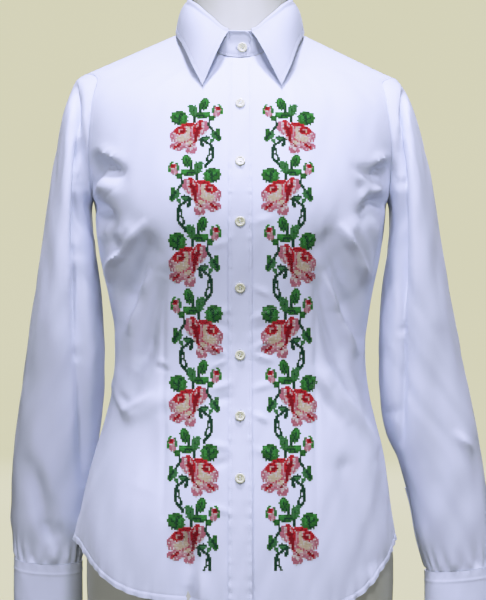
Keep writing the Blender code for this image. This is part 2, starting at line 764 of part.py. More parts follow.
def button_mesh():
    """Half a button's outline, which a Screw modifier turns; its back is at height 0."""
    radius, thick = BUTTON_DIAMETER / 2, BUTTON_THICKNESS
    outline = [
        (0.0, thick - BUTTON_DISH),
        (0.55 * radius, thick - BUTTON_DISH),
        (0.80 * radius, thick),
        (radius, 0.6 * thick),
        (0.85 * radius, 0.0),
        (0.0, 0.0),
    ]
    data = bpy.data.meshes.new("button_outline")
    edges = [(i, i + 1) for i in range(len(outline) - 1)]
    data.from_pydata([(x, 0, z) for x, z in outline], edges, [])
    data.materials.append(material_of(PEARL_BUTTON))
    return data


def button(name, data, place, facing, collection):
    """A button sewn on at a place of the cloth's surface, its face turned outwards."""
    from mathutils import Vector

    obj = bpy.data.objects.new(name, data)
    collection.objects.link(obj)
    outwards = Vector(facing)
    obj.location = Vector(place) + outwards * SEAM_GAP
    obj.rotation_mode = "QUATERNION"
    obj.rotation_quaternion = outwards.to_track_quat("Z", "Y")
    screw = obj.modifiers.new("turn", "SCREW")
    screw.steps = screw.render_steps = BUTTON_STEPS
    screw.use_merge_vertices = True
    screw.merge_threshold = 0.00001


def placket_button_places():
    """Places on the placket where the buttons go, and which way each faces."""
    line = placket_grid(SEAM_GAP + CLOTH)[:, 1]
    places = []
    for height in BUTTON_HEIGHTS:
        place = np.array([np.interp(height, line[:, 2], line[:, axis]) for axis in range(3)])
        below, above = (np.interp(height + reach, line[:, 2], line[:, 1]) for reach in (-0.006, 0.006))
        facing = unit(np.cross([1.0, 0, 0], [0, above - below, 0.012]))
        places.append((place, facing))
    return places


def buttons(collection):
    data = button_mesh()
    for number, (place, facing) in enumerate(placket_button_places(), start=1):
        button(f"button_{number}", data, place, facing, collection)

    front = np.array([2 * math.pi + math.radians(COLLAR_BUTTON_ANGLE)])
    place = stand_point(front, COLLAR_BUTTON_RISE)[0]
    upwards = stand_point(front, 1.0)[0] - stand_point(front, 0.0)[0]
    facing = unit(np.cross([1.0, 0, 0], upwards))
    button("collar_button", data, place, facing, collection)

    for arm in ARMS:
        middle = arm.lap_angle + 360 + CUFF_LAP_ANGLE / 2
        turn = np.radians(np.array([middle - 2, middle, middle + 2]))
        places = cuff_point(arm, turn, 0.5)
        facing = unit(cuff_point(arm, turn, 0.5, 0.001)[1] - places[1])
        button(f"cuff_button_{arm.name}", data, places[1], facing, collection)


def form_rings():
    """The dress form's rings, from its flat base to the top of its neck."""
    angles = np.linspace(0, 2 * math.pi, FORM_COLUMNS, endpoint=False)
    stump = np.exp(-(((from_front(angles) - 90) / STUMP_ANGLE) ** 2))
    low = hem_height(angles)
    rings = []
    for height in FORM_HEIGHTS:
        level = (height - low) / (SHOULDER_TIP_HEIGHT - low)
        normal = unit(body_normal(angles, level) * np.array([1, 1, 0]))
        inset = form_inset(height) + STUMP_INSET * stump * smooth_step(height, 0.56, 0.64)
        if height == 0:
            inset = inset + FORM_BASE_ROUNDING
        plain = section_point(angles, np.full(FORM_COLUMNS, height), shift=0.0)
        rings.append(plain - normal * inset[:, None])
    for step in FORM_SHOULDER_STEPS:
        level = np.full(FORM_COLUMNS, 1 + step)
        inset = form_inset(SHOULDER_TIP_HEIGHT) + STUMP_INSET * stump * smooth_step(-step, -0.3, 0)
        normal = body_normal(angles, level)
        rings.append(body_point(angles, level) - normal * inset[:, None])
    for point in (neckline_point(angles), fold_point(angles)):
        inwards = unit(point * np.array([1, 1, 0])) * FORM_NECK_CLEARANCE
        rings.append(point - inwards)
    neck = [(0.990, 1.0), (0.998, 0.93), (1.0, 0.75)]
    for share, spread in neck:
        radius = FORM_NECK_RADIUS * spread
        height = FORM_TOP_HEIGHT * share
        rings.append(ring_point(angles, radius, radius, radius, 2.0, height))
    return rings


def dress_form(collection):
    mesh = bmesh.new()
    loops = [[mesh.verts.new(point) for point in ring] for ring in form_rings()]
    for lower, upper in zip(loops, loops[1:]):
        for i in range(FORM_COLUMNS):
            j = (i + 1) % FORM_COLUMNS
            mesh.faces.new((lower[i], lower[j], upper[j], upper[i]))
    mesh.faces.new(loops[0][::-1])
    mesh.faces.new(loops[-1])
    bmesh.ops.recalc_face_normals(mesh, faces=mesh.faces)
    data = bpy.data.meshes.new("dress_form")
    mesh.to_mesh(data)
    mesh.free()
    data.shade_smooth()
    data.set_sharp_from_angle(angle=math.radians(35))
    add_object("dress_form", data, FORM_SHELL, collection)


def main():
    for obj in list(bpy.data.objects):
        bpy.data.objects.remove(obj)
    collection = bpy.data.collections.new("embroidered_shirt")
    bpy.context.scene.collection.children.link(collection)
    front_and_back(collection)
    button_placket(collection)
    collar_stand(collection)
    collar_leaf(collection)
    for arm in ARMS:
        sleeve_and_placket(arm, collection)
        cuff(arm, collection)
    buttons(collection)
    dress_form(collection)


main()
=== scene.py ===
"""The looks of an embroidered shirt on a limbless dress form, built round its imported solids.

Metres, +Z up. The front faces -Y, and the wearer's left is at +X. Angles round the body are measured
from the front. The cloth is lofted through the sizes that the solids have, in finer rows, with the
smaller creases, turned hems, stitching and cross-stitched roses added.
"""

import math
from collections import namedtuple

import bmesh
import bpy
import numpy as np
from mathutils import Matrix, Vector


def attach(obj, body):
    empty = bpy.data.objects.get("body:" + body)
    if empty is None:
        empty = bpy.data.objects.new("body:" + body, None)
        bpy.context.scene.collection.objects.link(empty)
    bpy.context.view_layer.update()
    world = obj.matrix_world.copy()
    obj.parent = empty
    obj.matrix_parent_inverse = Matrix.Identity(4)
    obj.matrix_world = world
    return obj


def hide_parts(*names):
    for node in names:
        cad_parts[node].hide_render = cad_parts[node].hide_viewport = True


BODY = "root"

# Cloth thicknesses and seams
CLOTH = 0.0012
FINE_CLOTH = 0.0008
STAND_CLOTH = 0.0015
CUFF_CLOTH = 0.0020
SEAM_GAP = 0.0003
SEAM_TUCK = 0.0040
SEAM_TUCK_DEPTH = 0.0014
CLOTH_SHARP_ANGLE = 50
# What a degree round the body is taken as along its cloth.
METRES_PER_DEGREE = 0.0026

# Heights of the shirt on its form
ARMPIT_HEIGHT = 0.580
SHOULDER_TIP_HEIGHT = 0.729
LEFT_SHOULDER_DROP = 0.0055
DROP_START_X = 0.06
DROP_SPAN_X = 0.12
DROP_START_HEIGHT = 0.62
DROP_FULL_HEIGHT = 0.72
HEM_SKEW = 0.007
ARMHOLE_HALF_DEPTH = 0.050

# Neck and collar
NECK_HALF_WIDTH = 0.0620
NECK_FRONT = 0.0620
NECK_BACK = 0.0680
FOLD_HALF_WIDTH = 0.0585
FOLD_FRONT = 0.0600
FOLD_BACK = 0.0620
STAND_DROP = 0.0022
STAND_LAP_ANGLE = 11.3
STAND_END_ROUND = 0.009
STAND_ROLL = 0.0028
STAND_HOLLOW = 0.0010
LEAF_START_ANGLE = 12.5
LEAF_FRONT_SHIFT = 0.0025
LEAF_BELLY = 0.0062

# Button band
PLACKET_OUTER_EDGE = 0.0132
PLACKET_INNER_EDGE = -0.0125
FRONT_JOIN = -0.0105
PLACKET_END = 2.87
PLACKET_LOOSE = 0.0022

# Buttons
BUTTON_DIAMETER = 0.0114
BUTTON_THICKNESS = 0.0024
BUTTON_DISH = 0.0007
BUTTON_HEIGHTS = [0.6844, 0.6184, 0.5519, 0.4789, 0.4037, 0.3361, 0.2676]
BUTTON_HOLE_RING = 0.0018
BUTTON_HOLE_RADIUS = 0.00075
BUTTON_HOLE_DEPTH = 0.0013
BUTTON_THREAD_WIDTH = 0.0004
BUTTON_THREAD_RISE = 0.0009
BUTTON_THREAD_SPACING = 0.00025
BUTTON_SHARP_ANGLE = 40
BUTTON_TWIST = 0.5
COLLAR_BUTTON_RISE = 0.36
COLLAR_BUTTON_ANGLE = 2.5

# Sleeves and cuffs
CUFF_HEIGHT = 0.060
CUFF_PROUD = 0.0008
CUFF_LAP_ANGLE = 32.0
SLEEVE_PLACKET_ROWS = 3
TROUGH_WIDTH_ANGLE = 20.0
TROUGH_CROWDING = 0.4
TROUGH_FULL_DEPTH = 0.006
GATHERS = 19
GATHER_DEPTH = 0.0014
GATHER_LENGTH = 0.022

# Dress form
FORM_TOP_HEIGHT = 0.876
FORM_NECK_CLEARANCE = 0.0040
FORM_NECK_RADIUS = 0.0530
STUMP_INSET = 0.010
STUMP_ANGLE = 32.0

# How finely the cloth is cut up
SKIRT_ROWS = 150
HEM_ROW_STEP = 0.0026
HEM_ROWS_END = 0.030
ARMHOLE_ROWS = 48
SHOULDER_ROWS = 22
FRONT_LEFT_COLUMNS = 90
FRONT_RIGHT_COLUMNS = 86
BACK_COLUMNS = 72
PLACKET_COLUMNS = 26
STAND_COLUMNS = 240
STAND_ROWS = 25
LEAF_COLUMNS = 200
LEAF_ROLL_ROWS = 13
LEAF_FALL_ROWS = 37
RING_STEPS = 8
SLEEVE_COLUMNS = 120
# The solids' sleeves have this many columns, and the sleeve plackets cover whole ones.
CAD_SLEEVE_COLUMNS = 24
CUFF_COLUMNS = 150
CUFF_ROWS = 49
BUTTON_COLUMNS = 64
BUTTON_RINGS = 27
FORM_COLUMNS = 144
# The angles between which a side edge of the front or back is looked for.
SIDE_ANGLES = np.radians(np.linspace(10, 170, 641))


def table(kind, rows):
    """Rows of plain numbers as rows with named columns."""
    return [kind(*row) for row in rows]


BodySection = namedtuple("BodySection", "height half_width front back square middle")
BODY_SECTIONS = table(BodySection, [
    (0.105, 0.186, 0.131, 0.130, 2.3, -0.0050),
    (0.184, 0.186, 0.130, 0.130, 2.3, -0.0050),
    (0.231, 0.179, 0.127, 0.126, 2.3, -0.0040),
    (0.278, 0.170, 0.121, 0.118, 2.3, -0.0015),
    (0.348, 0.152, 0.111, 0.100, 2.25, 0.0),
    (0.405, 0.146, 0.107, 0.091, 2.2, 0.0),
    (0.442, 0.149, 0.110, 0.090, 2.25, 0.0),
    (0.477, 0.155, 0.117, 0.093, 2.3, 0.0),
    (0.512, 0.162, 0.127, 0.098, 2.4, 0.0),
    (0.547, 0.167, 0.135, 0.104, 2.5, 0.0),
    (0.582, 0.172, 0.136, 0.109, 2.5, 0.0),
    (0.620, 0.180, 0.128, 0.112, 2.4, 0.0),
    (0.655, 0.185, 0.1165, 0.112, 2.3, 0.0),
    (0.685, 0.185, 0.1035, 0.107, 2.2, 0.0),
    (0.707, 0.184, 0.0905, 0.099, 1.9, 0.0),
    (0.729, 0.180, 0.0730, 0.086, 1.35, 0.0),
])

Edge = namedtuple("Edge", "angle height")
HEM = table(Edge, [
    (0, 0.121),
    (42, 0.127),
    (52, 0.135),
    (60, 0.148),
    (70, 0.169),
    (78, 0.181),
    (90, 0.186),
    (100, 0.183),
    (107, 0.174),
    (115, 0.157),
    (128, 0.136),
    (145, 0.119),
    (180, 0.108),
])
NECKLINE = table(Edge, [
    (0, 0.7405),
    (15, 0.7430),
    (30, 0.7495),
    (45, 0.7570),
    (60, 0.7660),
    (75, 0.7735),
    (90, 0.7800),
    (120, 0.7915),
    (150, 0.7990),
    (180, 0.8020),
])
COLLAR_FOLD = table(Edge, [
    (0, 0.7740),
    (12, 0.7748),
    (34, 0.7910),
    (60, 0.8080),
    (90, 0.8175),
    (120, 0.8280),
    (150, 0.8370),
    (180, 0.8410),
])

LeafEdge = namedtuple("LeafEdge", "angle x y z")
LEAF_EDGE = table(LeafEdge, [
    (12.5, 0.0445, -0.0935, 0.7065),
    (30, 0.0555, -0.0795, 0.7300),
    (50, 0.0668, -0.0480, 0.7580),
    (70, 0.0735, -0.0200, 0.7715),
    (90, 0.0755, 0.0050, 0.7785),
    (120, 0.0680, 0.0390, 0.7850),
    (150, 0.0415, 0.0670, 0.7900),
    (180, 0.0000, 0.0775, 0.7930),
])
LeafRoll = namedtuple("LeafRoll", "out up")
LEAF_ROLL = table(LeafRoll, [
    (-0.0012, -0.0003),
    (0.0008, 0.0000),
    (0.0030, -0.0012),
    (0.0044, -0.0050),
])

# A fold runs between two places on the body; a depth below zero is a trough.
Fold = namedtuple("Fold", "angle height to_angle to_height width depth")
BODY_FOLDS = table(Fold, [
    (-70, 0.617, -55, 0.604, 0.011, -0.005),
    (-73, 0.569, -60, 0.555, 0.011, -0.005),
    (-50, 0.541, -72, 0.498, 0.011, 0.004),
    (-43, 0.520, -62, 0.468, 0.018, -0.006),
    (-75, 0.378, -58, 0.339, 0.012, 0.003),
    (-58, 0.339, -42, 0.354, 0.012, 0.003),
    (-24, 0.195, -25, 0.110, 0.014, -0.006),
    (70, 0.603, 56, 0.592, 0.011, -0.005),
    (73, 0.579, 57, 0.562, 0.011, -0.005),
    (51, 0.545, 70, 0.495, 0.011, 0.004),
    (41, 0.525, 59, 0.460, 0.018, -0.006),
    (49, 0.380, 70, 0.295, 0.014, 0.003),
    (52, 0.275, 62, 0.170, 0.014, -0.004),
    (-92, 0.200, -88, 0.184, 0.016, 0.003),
    (140, 0.470, 165, 0.430, 0.016, -0.004),
    (-138, 0.462, -160, 0.425, 0.016, -0.004),
    (152, 0.230, 150, 0.105, 0.018, -0.005),
    (-156, 0.220, -158, 0.105, 0.018, -0.005),
])

# One ring of a sleeve: its edge beside the body, its outer edge, its middle and half depth along Y,
# and how deep the long trough down its front is.
SleeveRing = namedtuple(
    "SleeveRing", "in_x in_height out_x out_height middle half_depth trough"
)
RIGHT_SLEEVE = table(SleeveRing, [
    (0.1720, 0.5800, 0.1800, 0.7290, 0.000, 0.050, 0.000),
    (0.1735, 0.5745, 0.1890, 0.7235, 0.001, 0.051, 0.001),
    (0.1740, 0.5660, 0.1985, 0.7070, 0.002, 0.053, 0.003),
    (0.1730, 0.5540, 0.2070, 0.6820, 0.003, 0.056, 0.004),
    (0.1715, 0.5400, 0.2140, 0.6430, 0.004, 0.058, 0.005),
    (0.1695, 0.5220, 0.2210, 0.5980, 0.006, 0.060, 0.006),
    (0.1670, 0.4980, 0.2290, 0.5510, 0.008, 0.060, 0.007),
    (0.1640, 0.4680, 0.2370, 0.5000, 0.011, 0.059, 0.007),
    (0.1615, 0.4360, 0.2450, 0.4500, 0.015, 0.057, 0.007),
    (0.1600, 0.4040, 0.2515, 0.4070, 0.020, 0.054, 0.006),
    (0.1605, 0.3720, 0.2570, 0.3720, 0.027, 0.051, 0.006),
    (0.1630, 0.3400, 0.2622, 0.3400, 0.033, 0.048, 0.005),
    (0.1665, 0.3080, 0.2668, 0.3080, 0.039, 0.045, 0.004),
    (0.1715, 0.2760, 0.2706, 0.2760, 0.045, 0.042, 0.003),
    (0.1765, 0.2440, 0.2728, 0.2440, 0.050, 0.039, 0.002),
    (0.1810, 0.2120, 0.2736, 0.2120, 0.053, 0.035, 0.001),
    (0.1860, 0.1840, 0.2722, 0.1860, 0.053, 0.030, 0.000),
    (0.1895, 0.1540, 0.2695, 0.1580, 0.051, 0.024, 0.000),
])
LEFT_SLEEVE = table(SleeveRing, [
    (0.1720, 0.5800, 0.1800, 0.7290, 0.000, 0.050, 0.000),
    (0.1740, 0.5745, 0.1870, 0.7180, 0.000, 0.051, 0.001),
    (0.1750, 0.5660, 0.1955, 0.7050, 0.000, 0.053, 0.003),
    (0.1750, 0.5540, 0.2045, 0.6820, 0.001, 0.056, 0.004),
    (0.1745, 0.5410, 0.2135, 0.6500, 0.002, 0.058, 0.005),
    (0.1730, 0.5230, 0.2230, 0.6040, 0.003, 0.060, 0.006),
    (0.1700, 0.4980, 0.2320, 0.5540, 0.005, 0.060, 0.006),
    (0.1670, 0.4680, 0.2415, 0.5000, 0.007, 0.059, 0.006),
    (0.1645, 0.4360, 0.2510, 0.4500, 0.009, 0.057, 0.006),
    (0.1635, 0.4040, 0.2590, 0.4070, 0.011, 0.054, 0.005),
    (0.1640, 0.3720, 0.2665, 0.3720, 0.013, 0.052, 0.004),
    (0.1665, 0.3400, 0.2735, 0.3400, 0.014, 0.050, 0.003),
    (0.1730, 0.3080, 0.2803, 0.3080, 0.015, 0.047, 0.001),
    (0.1860, 0.2760, 0.2852, 0.2760, 0.016, 0.044, 0.000),
    (0.1955, 0.2440, 0.2900, 0.2440, 0.016, 0.040, 0.000),
    (0.2025, 0.2120, 0.2945, 0.2120, 0.015, 0.036, 0.000),
    (0.2085, 0.1820, 0.2975, 0.1840, 0.013, 0.030, 0.000),
    (0.2195, 0.1470, 0.2995, 0.1545, 0.012, 0.024, 0.000),
])

# A crease is placed by X and height, on the front or the back. A depth below zero is a trough.
Crease = namedtuple("Crease", "x height to_x to_height width depth")
FRONT_CREASES = table(Crease, [
    # the turned-in crease at each armpit, and the cloth that bulges below it
    (-0.170, 0.592, -0.160, 0.623, 0.0068, -0.0100),
    (-0.160, 0.623, -0.136, 0.610, 0.0070, -0.0096),
    (-0.160, 0.635, -0.136, 0.620, 0.0070, 0.0047),
    (-0.160, 0.604, -0.145, 0.585, 0.0110, 0.0070),
    (-0.170, 0.577, -0.150, 0.560, 0.0068, -0.0109),
    (-0.160, 0.548, -0.156, 0.530, 0.0045, 0.0031),
    (-0.152, 0.548, -0.150, 0.534, 0.0025, 0.0028),
    (0.150, 0.607, 0.168, 0.616, 0.0062, -0.0096),
    (0.130, 0.612, 0.150, 0.607, 0.0060, -0.0045),
    (0.150, 0.620, 0.166, 0.628, 0.0050, 0.0037),
    (0.152, 0.592, 0.163, 0.588, 0.0080, 0.0053),
    (0.139, 0.564, 0.152, 0.580, 0.0060, -0.0089),
    (0.152, 0.580, 0.165, 0.574, 0.0060, -0.0089),
    (0.157, 0.556, 0.154, 0.530, 0.0045, 0.0031),
    # the drags from the bust down to the waist's sides, sharp on top and hollow beneath
    (-0.108, 0.549, -0.129, 0.523, 0.0045, 0.0057),
    (-0.129, 0.523, -0.146, 0.505, 0.0045, 0.0086),
    (-0.146, 0.505, -0.148, 0.489, 0.0045, 0.0043),
    (-0.147, 0.536, -0.132, 0.520, 0.0070, -0.0062),
    (-0.106, 0.530, -0.136, 0.440, 0.0125, -0.0118),
    (-0.106, 0.491, -0.118, 0.467, 0.0045, 0.0064),
    (-0.118, 0.467, -0.127, 0.430, 0.0045, 0.0075),
    (-0.088, 0.490, -0.114, 0.405, 0.0105, -0.0120),
    (-0.092, 0.397, -0.082, 0.392, 0.0030, 0.0020),
    (-0.093, 0.390, -0.080, 0.386, 0.0034, -0.0020),
    (0.114, 0.545, 0.131, 0.517, 0.0045, 0.0075),
    (0.131, 0.517, 0.142, 0.490, 0.0045, 0.0079),
    (0.100, 0.532, 0.134, 0.425, 0.0105, -0.0095),
    (0.090, 0.548, 0.094, 0.525, 0.0040, 0.0018),
    (0.100, 0.488, 0.116, 0.445, 0.0045, 0.0077),
    (0.116, 0.445, 0.132, 0.405, 0.0045, 0.0077),
    (0.088, 0.492, 0.108, 0.395, 0.0085, -0.0095),
    (0.120, 0.400, 0.138, 0.340, 0.0050, 0.0031),
    (0.086, 0.385, 0.120, 0.330, 0.0060, 0.0034),
    (0.083, 0.372, 0.110, 0.330, 0.0060, -0.0037),
    (-0.100, 0.424, -0.120, 0.384, 0.0110, -0.0095),
    (0.104, 0.445, 0.122, 0.365, 0.0095, -0.0080),
    (-0.084, 0.330, -0.110, 0.255, 0.0200, -0.0050),
    # a V at the wearer's right hip and a long slant at the left one
    (-0.147, 0.370, -0.131, 0.339, 0.0045, 0.0031),
    (-0.131, 0.339, -0.100, 0.357, 0.0045, 0.0031),
    (-0.140, 0.358, -0.120, 0.343, 0.0060, -0.0028),
    (0.102, 0.380, 0.157, 0.300, 0.0060, 0.0037),
    (0.106, 0.362, 0.152, 0.284, 0.0080, -0.0034),
    # the waist darts
    (0.086, 0.482, 0.086, 0.225, 0.0030, -0.0020),
    (-0.086, 0.482, -0.086, 0.225, 0.0030, -0.0020),
    # a flute at the hem, and small pulls beside the waist's buttons
    (-0.056, 0.200, -0.056, 0.150, 0.0090, -0.0032),
    (-0.056, 0.150, -0.057, 0.112, 0.0080, -0.0056),
    (-0.040, 0.165, -0.039, 0.112, 0.0090, 0.0047),
    (0.016, 0.404, 0.036, 0.398, 0.0026, 0.0029),
    (0.016, 0.410, 0.034, 0.423, 0.0026, 0.0027),
    (0.016, 0.479, 0.034, 0.470, 0.0030, 0.0025),
    (0.016, 0.338, 0.032, 0.330, 0.0030, 0.0025),
    (-0.015, 0.404, -0.034, 0.412, 0.0026, 0.0025),
    (-0.015, 0.398, -0.032, 0.390, 0.0026, 0.0025),
    (-0.012, 0.455, -0.030, 0.449, 0.0032, 0.0020),
    (-0.012, 0.434, -0.036, 0.441, 0.0042, -0.0020),
    (-0.010, 0.372, -0.034, 0.365, 0.0036, 0.0022),
    (-0.010, 0.357, -0.030, 0.352, 0.0042, -0.0020),
    (-0.012, 0.300, -0.034, 0.306, 0.0036, 0.0018),
    (-0.012, 0.286, -0.032, 0.280, 0.0042, -0.0018),
    (-0.012, 0.230, -0.032, 0.236, 0.0036, 0.0016),
    (-0.012, 0.530, -0.034, 0.524, 0.0036, 0.0014),
    (0.014, 0.445, 0.040, 0.452, 0.0036, 0.0022),
    (0.014, 0.432, 0.038, 0.436, 0.0042, -0.0020),
    (0.014, 0.366, 0.036, 0.372, 0.0036, 0.0020),
    (0.016, 0.300, 0.036, 0.292, 0.0036, 0.0016),
    (0.016, 0.550, 0.034, 0.556, 0.0036, 0.0012),
])
BACK_CREASES = table(Crease, [
    (-0.095, 0.480, -0.090, 0.230, 0.0034, -0.0018),
    (0.095, 0.480, 0.090, 0.230, 0.0034, -0.0018),
    (-0.165, 0.600, -0.130, 0.560, 0.0070, -0.0052),
    (0.165, 0.595, 0.128, 0.552, 0.0070, -0.0052),
    (-0.165, 0.580, -0.135, 0.540, 0.0050, 0.0039),
    (0.165, 0.576, 0.133, 0.534, 0.0050, 0.0039),
    (-0.130, 0.420, -0.060, 0.395, 0.0060, 0.0039),
    (0.125, 0.412, 0.058, 0.400, 0.0060, 0.0039),
    (-0.120, 0.385, -0.050, 0.372, 0.0090, -0.0044),
    (0.115, 0.378, 0.045, 0.380, 0.0090, -0.0044),
    (-0.100, 0.446, -0.040, 0.430, 0.0060, 0.0026),
    (0.098, 0.440, 0.036, 0.436, 0.0060, 0.0026),
    (0.060, 0.240, 0.066, 0.150, 0.0100, -0.0026),
    (-0.062, 0.230, -0.064, 0.150, 0.0100, -0.0026),
])
RIGHT_CREASES = table(Crease, [
    # the long dark fold from the shoulder's tip past the armpit
    (-0.190, 0.712, -0.186, 0.660, 0.0050, -0.0128),
    (-0.186, 0.660, -0.182, 0.600, 0.0085, -0.0139),
    (-0.182, 0.600, -0.184, 0.520, 0.0085, -0.0128),
    (-0.184, 0.520, -0.185, 0.400, 0.0070, -0.0102),
    (-0.185, 0.400, -0.183, 0.250, 0.0065, -0.0077),
    (-0.171, 0.612, -0.171, 0.560, 0.0045, 0.0051),
    (-0.244, 0.270, -0.230, 0.205, 0.0100, -0.0068),
    (-0.230, 0.205, -0.222, 0.178, 0.0080, -0.0059),
    (-0.214, 0.200, -0.212, 0.184, 0.0035, -0.0020),
    (-0.215, 0.400, -0.218, 0.250, 0.0140, -0.0020),
])
LEFT_CREASES = table(Crease, [
    (0.190, 0.705, 0.187, 0.655, 0.0036, -0.0107),
    (0.187, 0.655, 0.184, 0.600, 0.0060, -0.0128),
    (0.183, 0.600, 0.183, 0.430, 0.0042, -0.0102),
    (0.183, 0.430, 0.186, 0.300, 0.0050, -0.0067),
    (0.171, 0.612, 0.172, 0.570, 0.0045, 0.0045),
    (0.173, 0.340, 0.176, 0.330, 0.0060, -0.0035),
    (0.252, 0.309, 0.267, 0.293, 0.0045, 0.0042),
    (0.225, 0.420, 0.232, 0.260, 0.0150, -0.0029),
])

# side is -1 for the wearer's right. The lap is where the cuff's ends cross, in degrees round the
# ring from its outer edge by way of the front. The dip is how much lower the cuff's front hangs.
Arm = namedtuple("Arm", "name side rings trough_x lap_angle dip creases")
ARMS = [
    Arm("right", -1, RIGHT_SLEEVE, 0.190, 214.0, 0.0045, RIGHT_CREASES),
    Arm("left", 1, LEFT_SLEEVE, 0.188, 196.0, 0.0010, LEFT_CREASES),
]

# How far the form lies inside the shirt's outer surface, by height.
FormInset = namedtuple("FormInset", "height inset")
FORM_INSETS = table(FormInset, [
    (0.000, 0.024),
    (0.050, 0.012),
    (0.105, 0.0085),
    (0.184, 0.0085),
    (0.230, 0.015),
    (0.280, 0.020),
    (0.400, 0.028),
    (0.480, 0.028),
    (0.560, 0.026),
    (0.620, 0.022),
    (0.680, 0.012),
    (0.729, 0.0060),
])
FORM_HEIGHTS = [
    0.0, 0.0015, 0.004, 0.020, 0.040, 0.065, 0.090, 0.115, 0.140, 0.165, 0.190, 0.212, 0.235,
    0.258, 0.280, 0.300, 0.320, 0.340, 0.360, 0.380, 0.400, 0.420, 0.440, 0.460, 0.480, 0.500,
    0.515, 0.535, 0.550, 0.568, 0.585, 0.602, 0.620, 0.638, 0.655, 0.670, 0.685, 0.697, 0.708,
]
FORM_SHOULDER_STEPS = [0.0, 0.06, 0.12, 0.21, 0.30, 0.40, 0.50, 0.62, 0.75, 0.86, 0.97]
FORM_BASE_ROUNDING = 0.004
FORM_SHARP_ANGLE = 40
# The top of its neck: each ring's share of the full height and of the neck's radius.
FORM_NECK_RINGS = [
    (0.988, 1.0), (0.993, 0.985), (0.997, 0.95), (0.999, 0.90), (1.0, 0.82), (1.0, 0.5),
]

# Stitching
TOPSTITCH_PITCH = 0.0026
TOPSTITCH_LENGTH = 0.0021
TOPSTITCH_WIDTH = 0.00045
TOPSTITCH_RISE = 0.00022
STITCH_LIFT = 0.00005
GROOVE_DEPTH = 0.0004
COLLAR_GROOVE_DEPTH = 0.0003
HEM_DEPTH = 0.0065
HEM_RISE = 0.0005
SEAM_STITCH_INSET = 0.0055
COLLAR_STITCH_INSET = 0.0050
STAND_STITCH_INSET = 0.0025
PLACKET_STITCH_INSET = 0.0028
SLEEVE_PLACKET_INSET = 0.0022
ARMHOLE_STITCH_INSET = 0.0016
CUFF_STITCH_DROP = 0.0115
CUFF_SEAM_INSET = 0.0018
CUFF_EDGE_INSET = 0.0045
BUTTONHOLE_LENGTH = 0.0128
BUTTONHOLE_HALF_WIDTH = 0.0013
BUTTONHOLE_HALF_SLIT = 0.0002
BUTTONHOLE_PITCH = 0.00045
BUTTONHOLE_END_PITCH = 0.0004
BUTTONHOLE_END_LENGTH = 0.0012
BUTTONHOLE_LIFT = 0.0002

# Cross-stitch
STITCH_PITCH = 0.0016
MOTIF_COLUMNS = 39
MOTIF_ROWS = 56
MOTIF_CENTRE_X = 0.0515
FLOSS_WIDTH = 0.00120
FLOSS_RISE = 0.00045
FLOSS_LIFT = 0.00002
# How much higher the upper stitch of each cross lies.
OVER_RISE = 0.00010
ROSE_ROWS = 44
ROSE_HEART_ROW = 30
LAST_ROW = 6 * ROSE_ROWS + 46
# The roses lie within this angle from the front, and each place is found by halving it.
ROSE_SEARCH_ANGLE = 75.0
HALVINGS = 26
# The height of each rose's heart, and how far it lies off its column's line, in stitches.
ROSE_HEIGHTS = [0.6465, 0.5801, 0.5037, 0.4230, 0.3466, 0.2703, 0.1950]
ROSE_SHIFTS = {-1: [1, 2, 0, 3, 0, 0, -1], 1: [3, 0, 4, 0, 5, 0, 5]}
TOP_ROW_HEIGHT = 0.6912

# Floss colours, linear
FLOSS = {
    "deep_red": (0.28, 0.004, 0.016),
    "red": (0.54, 0.016, 0.034),
    "rose": (0.56, 0.10, 0.16),
    "mauve": (0.52, 0.180, 0.270),
    "blush": (0.60, 0.34, 0.41),
    "cream": (0.62, 0.53, 0.42),
    "white": (0.68, 0.62, 0.62),
    "dark_green": (0.010, 0.062, 0.034),
    "green": (0.034, 0.185, 0.036),
    "light_green": (0.055, 0.310, 0.066),
    "sage": (0.060, 0.225, 0.090),
}
# How ragged the edges of leaves and petals are, as a share of their size.
LEAF_TEETH = 0.085
PETAL_TEETH = 0.025
TEETH = 11
# Floss that shows here and there among another, and how large its share of the stitches is.
FLECKS = {
    "mauve": ("white", 0.20),
    "blush": ("white", 0.30),
    "cream": ("white", 0.22),
    "rose": ("blush", 0.20),
    "red": ("deep_red", 0.16),
    "green": ("dark_green", 0.20),
    "light_green": ("green", 0.25),
    "sage": ("green", 0.22),
}

